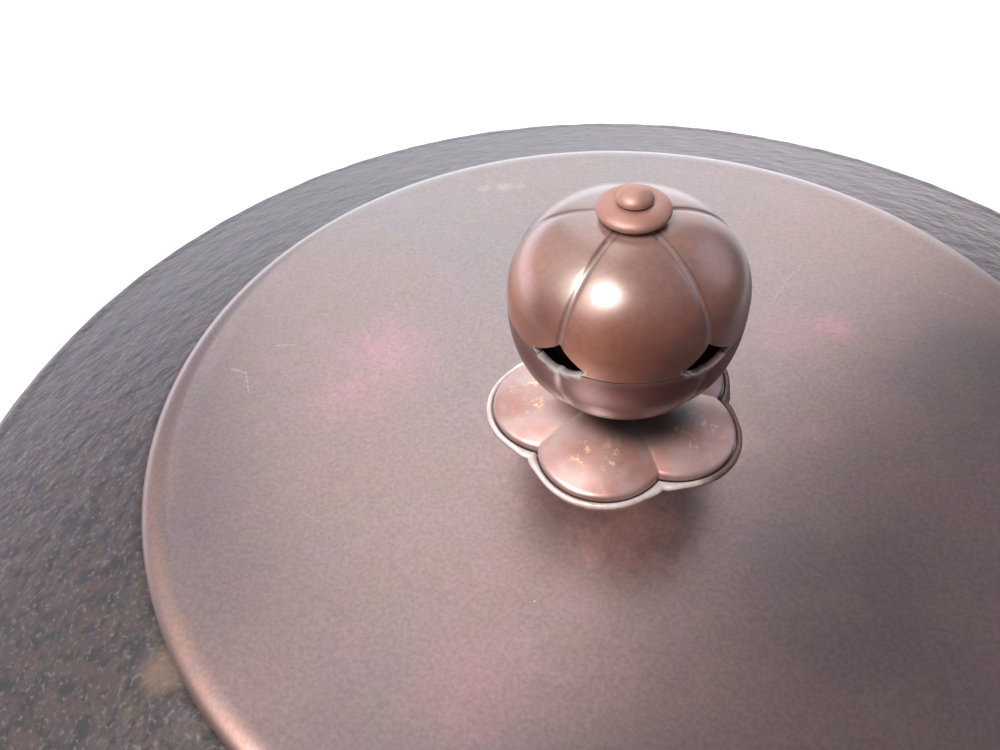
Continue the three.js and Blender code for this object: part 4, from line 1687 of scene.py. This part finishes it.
@dataclass
class KnobPin:
    """Pin that holds the knob, with the cap under its bead, the neck, and its legs below the lid."""

    lid: Lid
    neck_radius: float = 4 * MM
    neck_waist: float = 0.5 * MM
    pin_radius: float = 1.5 * MM
    cap_radius: float = Ball.cap_radius
    cap_brim: float = 0.45 * MM
    bead_radius: float = 2.1 * MM
    bead_rise: float = 1.25 * MM
    bead_gap: float = 0.3 * MM
    leg_length: float = 9 * MM
    leg_width: float = 2.4 * MM
    leg_thickness: float = 1.3 * MM
    leg_round: float = 0.4 * MM
    steps: int = 120
    copper: Finish = field(default_factory=CapCopper)
    bronze: Finish = field(default_factory=KnobPatina)

    def build(self) -> None:
        """Build the neck, the cap and the pin."""
        hole = self.lid.pin_hole
        low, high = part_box("knob_neck")
        middle = (low.z + high.z) / 2
        hollow = (self.neck_waist, (high.z - low.z) / 2)
        waist = arc((self.neck_radius, middle), hollow, (-90, -270), 8)
        neck = turned("knob_collar", [(hole, low.z), *waist, (hole, high.z)], self.steps)
        hand_over(neck, Body.LID, Slot.KNOB_BRONZE, self.bronze, "knob_neck")
        low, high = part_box("knob_cap")
        brim = low.z + self.cap_brim
        crown = (self.cap_radius - hole, high.z - brim)
        edge = arc((self.cap_radius - self.cap_brim, brim), (self.cap_brim, self.cap_brim), (-90, 0), 5)
        dome = arc((hole, brim), crown, (0, 90), 16)
        cap = turned("ball_cap", [(hole, low.z), *edge, *dome[1:]], self.steps)
        hand_over(cap, Body.LID, Slot.COPPER, self.copper, "knob_cap", crease=60)
        self.build_pin()

    def build_pin(self) -> None:
        """Build the shank with its bead, and join the two legs to it."""
        low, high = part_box("knob_pin")
        bead_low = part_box("knob_cap")[1].z + self.bead_gap
        bead = arc((0, bead_low), (self.bead_radius, self.bead_rise), (0, 90), 14)
        shank = [(0, low.z), (self.pin_radius, low.z), (self.pin_radius, bead_low)]
        pin = turned("rivet", [*shank, *bead], self.steps)
        middle = Vector((0, 0, low.z + self.leg_thickness / 2))
        size = Vector((2 * self.leg_length, self.leg_width, self.leg_thickness))
        legs = block("legs", middle, size)
        finish_with(legs, "BEVEL", width=self.leg_round, segments=3)
        add_to(pin, legs)
        hand_over(pin, Body.LID, Slot.COPPER, self.copper, "knob_pin", crease=50)


# Studio


@dataclass(frozen=True)
class Glow:
    """Soft light from one way, given as azimuth and climb in degrees, with the range in which it grows."""

    azimuth: float
    climb: float
    range: Point
    strength: float = 1.0


class Sky(Nodes):
    """Node tree of the world."""

    def __init__(self, world: World) -> None:
        """Start with an empty world.

        Args:
            world: The world to light.
        """
        world.use_nodes = True
        super().__init__(world.node_tree)
        self.way = self.add("ShaderNodeTexCoord").outputs["Generated"]

    def along(self, way: Vector) -> NodeSocket:
        """Give how far each direction points along a way."""
        return self.vector("DOT_PRODUCT", self.way, way).outputs["Value"]

    def glow(self, glow: Glow, least: float = 0.0) -> NodeSocket:
        """Give how bright a glow makes each direction."""
        return self.band(self.along(facing(glow.azimuth, glow.climb)), *glow.range, least, glow.strength)

    def brightest(self, *strengths: NodeSocket) -> NodeSocket:
        """Give the largest of several strengths."""
        return reduce(lambda one, other: self.math("MAXIMUM", one, other), strengths)

    def shine(self, strength: NodeSocket, tint: NodeSocket) -> None:
        """Light the scene by a strength and a tint, with plain white behind it for the camera."""
        light = self.add("ShaderNodeBackground")
        plain = self.add("ShaderNodeBackground")
        self.feed(light.inputs["Color"], tint)
        self.feed(light.inputs["Strength"], strength)
        choice = self.add("ShaderNodeMixShader")
        seen = self.add("ShaderNodeLightPath").outputs["Is Camera Ray"]
        for socket, value in zip(choice.inputs, (seen, light.outputs[0], plain.outputs[0])):
            self.feed(socket, value)
        self.feed(self.add("ShaderNodeOutputWorld").inputs["Surface"], choice.outputs[0])


@dataclass
class Studio:
    """Pale floor, soft surroundings with a bright side, a sun as the one lamp, and the camera."""

    floor_radius: float = 0.6
    floor_middle: Point = (-0.18, 0.32)
    floor_sides: int = 96
    window: Glow = Glow(22.9, 33.3, (0.62, 0.71))
    window_side: Glow = Glow(-65.2, -20, (-0.205, -0.11))
    window_heights: Point = (-0.05, 0.36)
    window_low_share: float = 0.35
    outer_share: float = 0.29
    left: Glow = Glow(-95, 48, (0.74, 0.98), 1.2)
    right: Glow = Glow(62, 26, (0.88, 0.98), 0.8)
    halo: Glow = Glow(-130, 51, (0.85, 0.985), 3.2)
    cool: Glow = Glow(-15, 20, (0.82, 0.97))
    far: Glow = Glow(-32, 0, (0.3, 0.75))
    horizon: float = 2.3
    horizon_heights: Point = (0.30, 0.05)
    bright: float = 1.85
    dim: float = 0.122
    plain_tint: Colour = (1.0, 1.0, 1.0)
    dim_tint: Colour = (0.86, 0.93, 1.16)
    cool_tint: Colour = (0.86, 1.01, 1.09)
    lamp_way: Vector = field(default_factory=lambda: facing(-143, 59))
    lamp_spread: float = math.radians(22)
    lamp_power: float = 2.6
    camera_place: Vector = field(default_factory=lambda: Vector((0, -89.26 * MM, 255.23 * MM)))
    camera_turn: float = math.radians(15.707)
    camera_tilt: float = math.radians(42.219)
    camera_roll: float = math.radians(-6.442)
    sensor: float = 36.0
    lens: float = 35.0
    shift: Point = (0.0649, 0.0288)
    white: Finish = field(default_factory=PaleFloor)

    def build(self) -> None:
        """Build the floor, the light and the camera."""
        self.build_floor()
        self.build_surroundings()
        self.build_lamp()
        self.build_camera()

    def build_floor(self) -> None:
        """Build the floor, a wide disc."""
        sides, radius = self.floor_sides, self.floor_radius
        bpy.ops.mesh.primitive_circle_add(vertices=sides, radius=radius, fill_type="NGON")
        floor = bpy.context.object
        floor.name = "floor"
        floor.data.transform(Matrix.Translation((*self.floor_middle, 0)))
        floor.data.materials.append(self.white.material())

    def build_surroundings(self) -> None:
        """Build the world: a window away from the camera, softer glows round it, and dim elsewhere."""
        world = bpy.data.worlds.new("surroundings")
        bpy.context.scene.world = world
        sky = Sky(world)
        up = sky.along(Vector((0, 0, 1)))
        high = sky.band(up, *self.window_heights, self.window_low_share)
        lobe = sky.math("MULTIPLY", sky.glow(self.window, self.outer_share), sky.glow(self.window_side))
        window = sky.math("MULTIPLY", lobe, high)
        pane = sky.math("MULTIPLY_ADD", window, self.bright - self.dim, self.dim)
        low = sky.band(up, *self.horizon_heights, 0.0, self.horizon)
        level = sky.math("MULTIPLY", low, sky.glow(self.far))
        left, right, halo = (sky.glow(glow) for glow in (self.left, self.right, self.halo))
        tint = sky.tint(sky.brightest(window, left, halo), self.dim_tint, self.plain_tint)
        tint = sky.tint(sky.glow(self.cool), tint, self.cool_tint)
        sky.shine(sky.brightest(pane, level, left, halo, right), tint)
        bpy.context.scene.view_settings.view_transform = "Standard"

    def build_lamp(self) -> None:
        """Build the sun over the camera's left shoulder."""
        data = bpy.data.lights.new("lamp", "SUN")
        data.angle = self.lamp_spread
        data.energy = self.lamp_power
        lamp = bpy.data.objects.new("lamp", data)
        bpy.context.scene.collection.objects.link(lamp)
        lamp.location = self.lamp_way
        lamp.rotation_euler = self.lamp_way.to_track_quat("Z", "Y").to_euler()

    def build_camera(self) -> None:
        """Build the camera at the viewing angle of the photograph."""
        data = bpy.data.cameras.new("camera")
        data.sensor_width = self.sensor
        data.lens = self.lens
        data.shift_x, data.shift_y = self.shift
        data.clip_start = MM
        camera = bpy.data.objects.new("camera", data)
        bpy.context.scene.collection.objects.link(camera)
        turn = Matrix.Rotation(self.camera_turn, 4, "Z")
        tilt = Matrix.Rotation(self.camera_tilt, 4, "X")
        roll = Matrix.Rotation(self.camera_roll, 4, "Z")
        camera.matrix_world = Matrix.Translation(self.camera_place) @ turn @ tilt @ roll
        bpy.context.scene.camera = camera


def main() -> None:
    """Build the studio and the kettle."""
    logging.basicConfig(level=logging.INFO, format="%(message)s")
    Studio().build()
    KettleBody().build()
    LiftingRings().build()
    lid = Lid()
    lid.build()
    KnobSeat(lid).build()
    Ball(lid).build()
    KnobPin(lid).build()


if __name__ == "__main__":
    main()
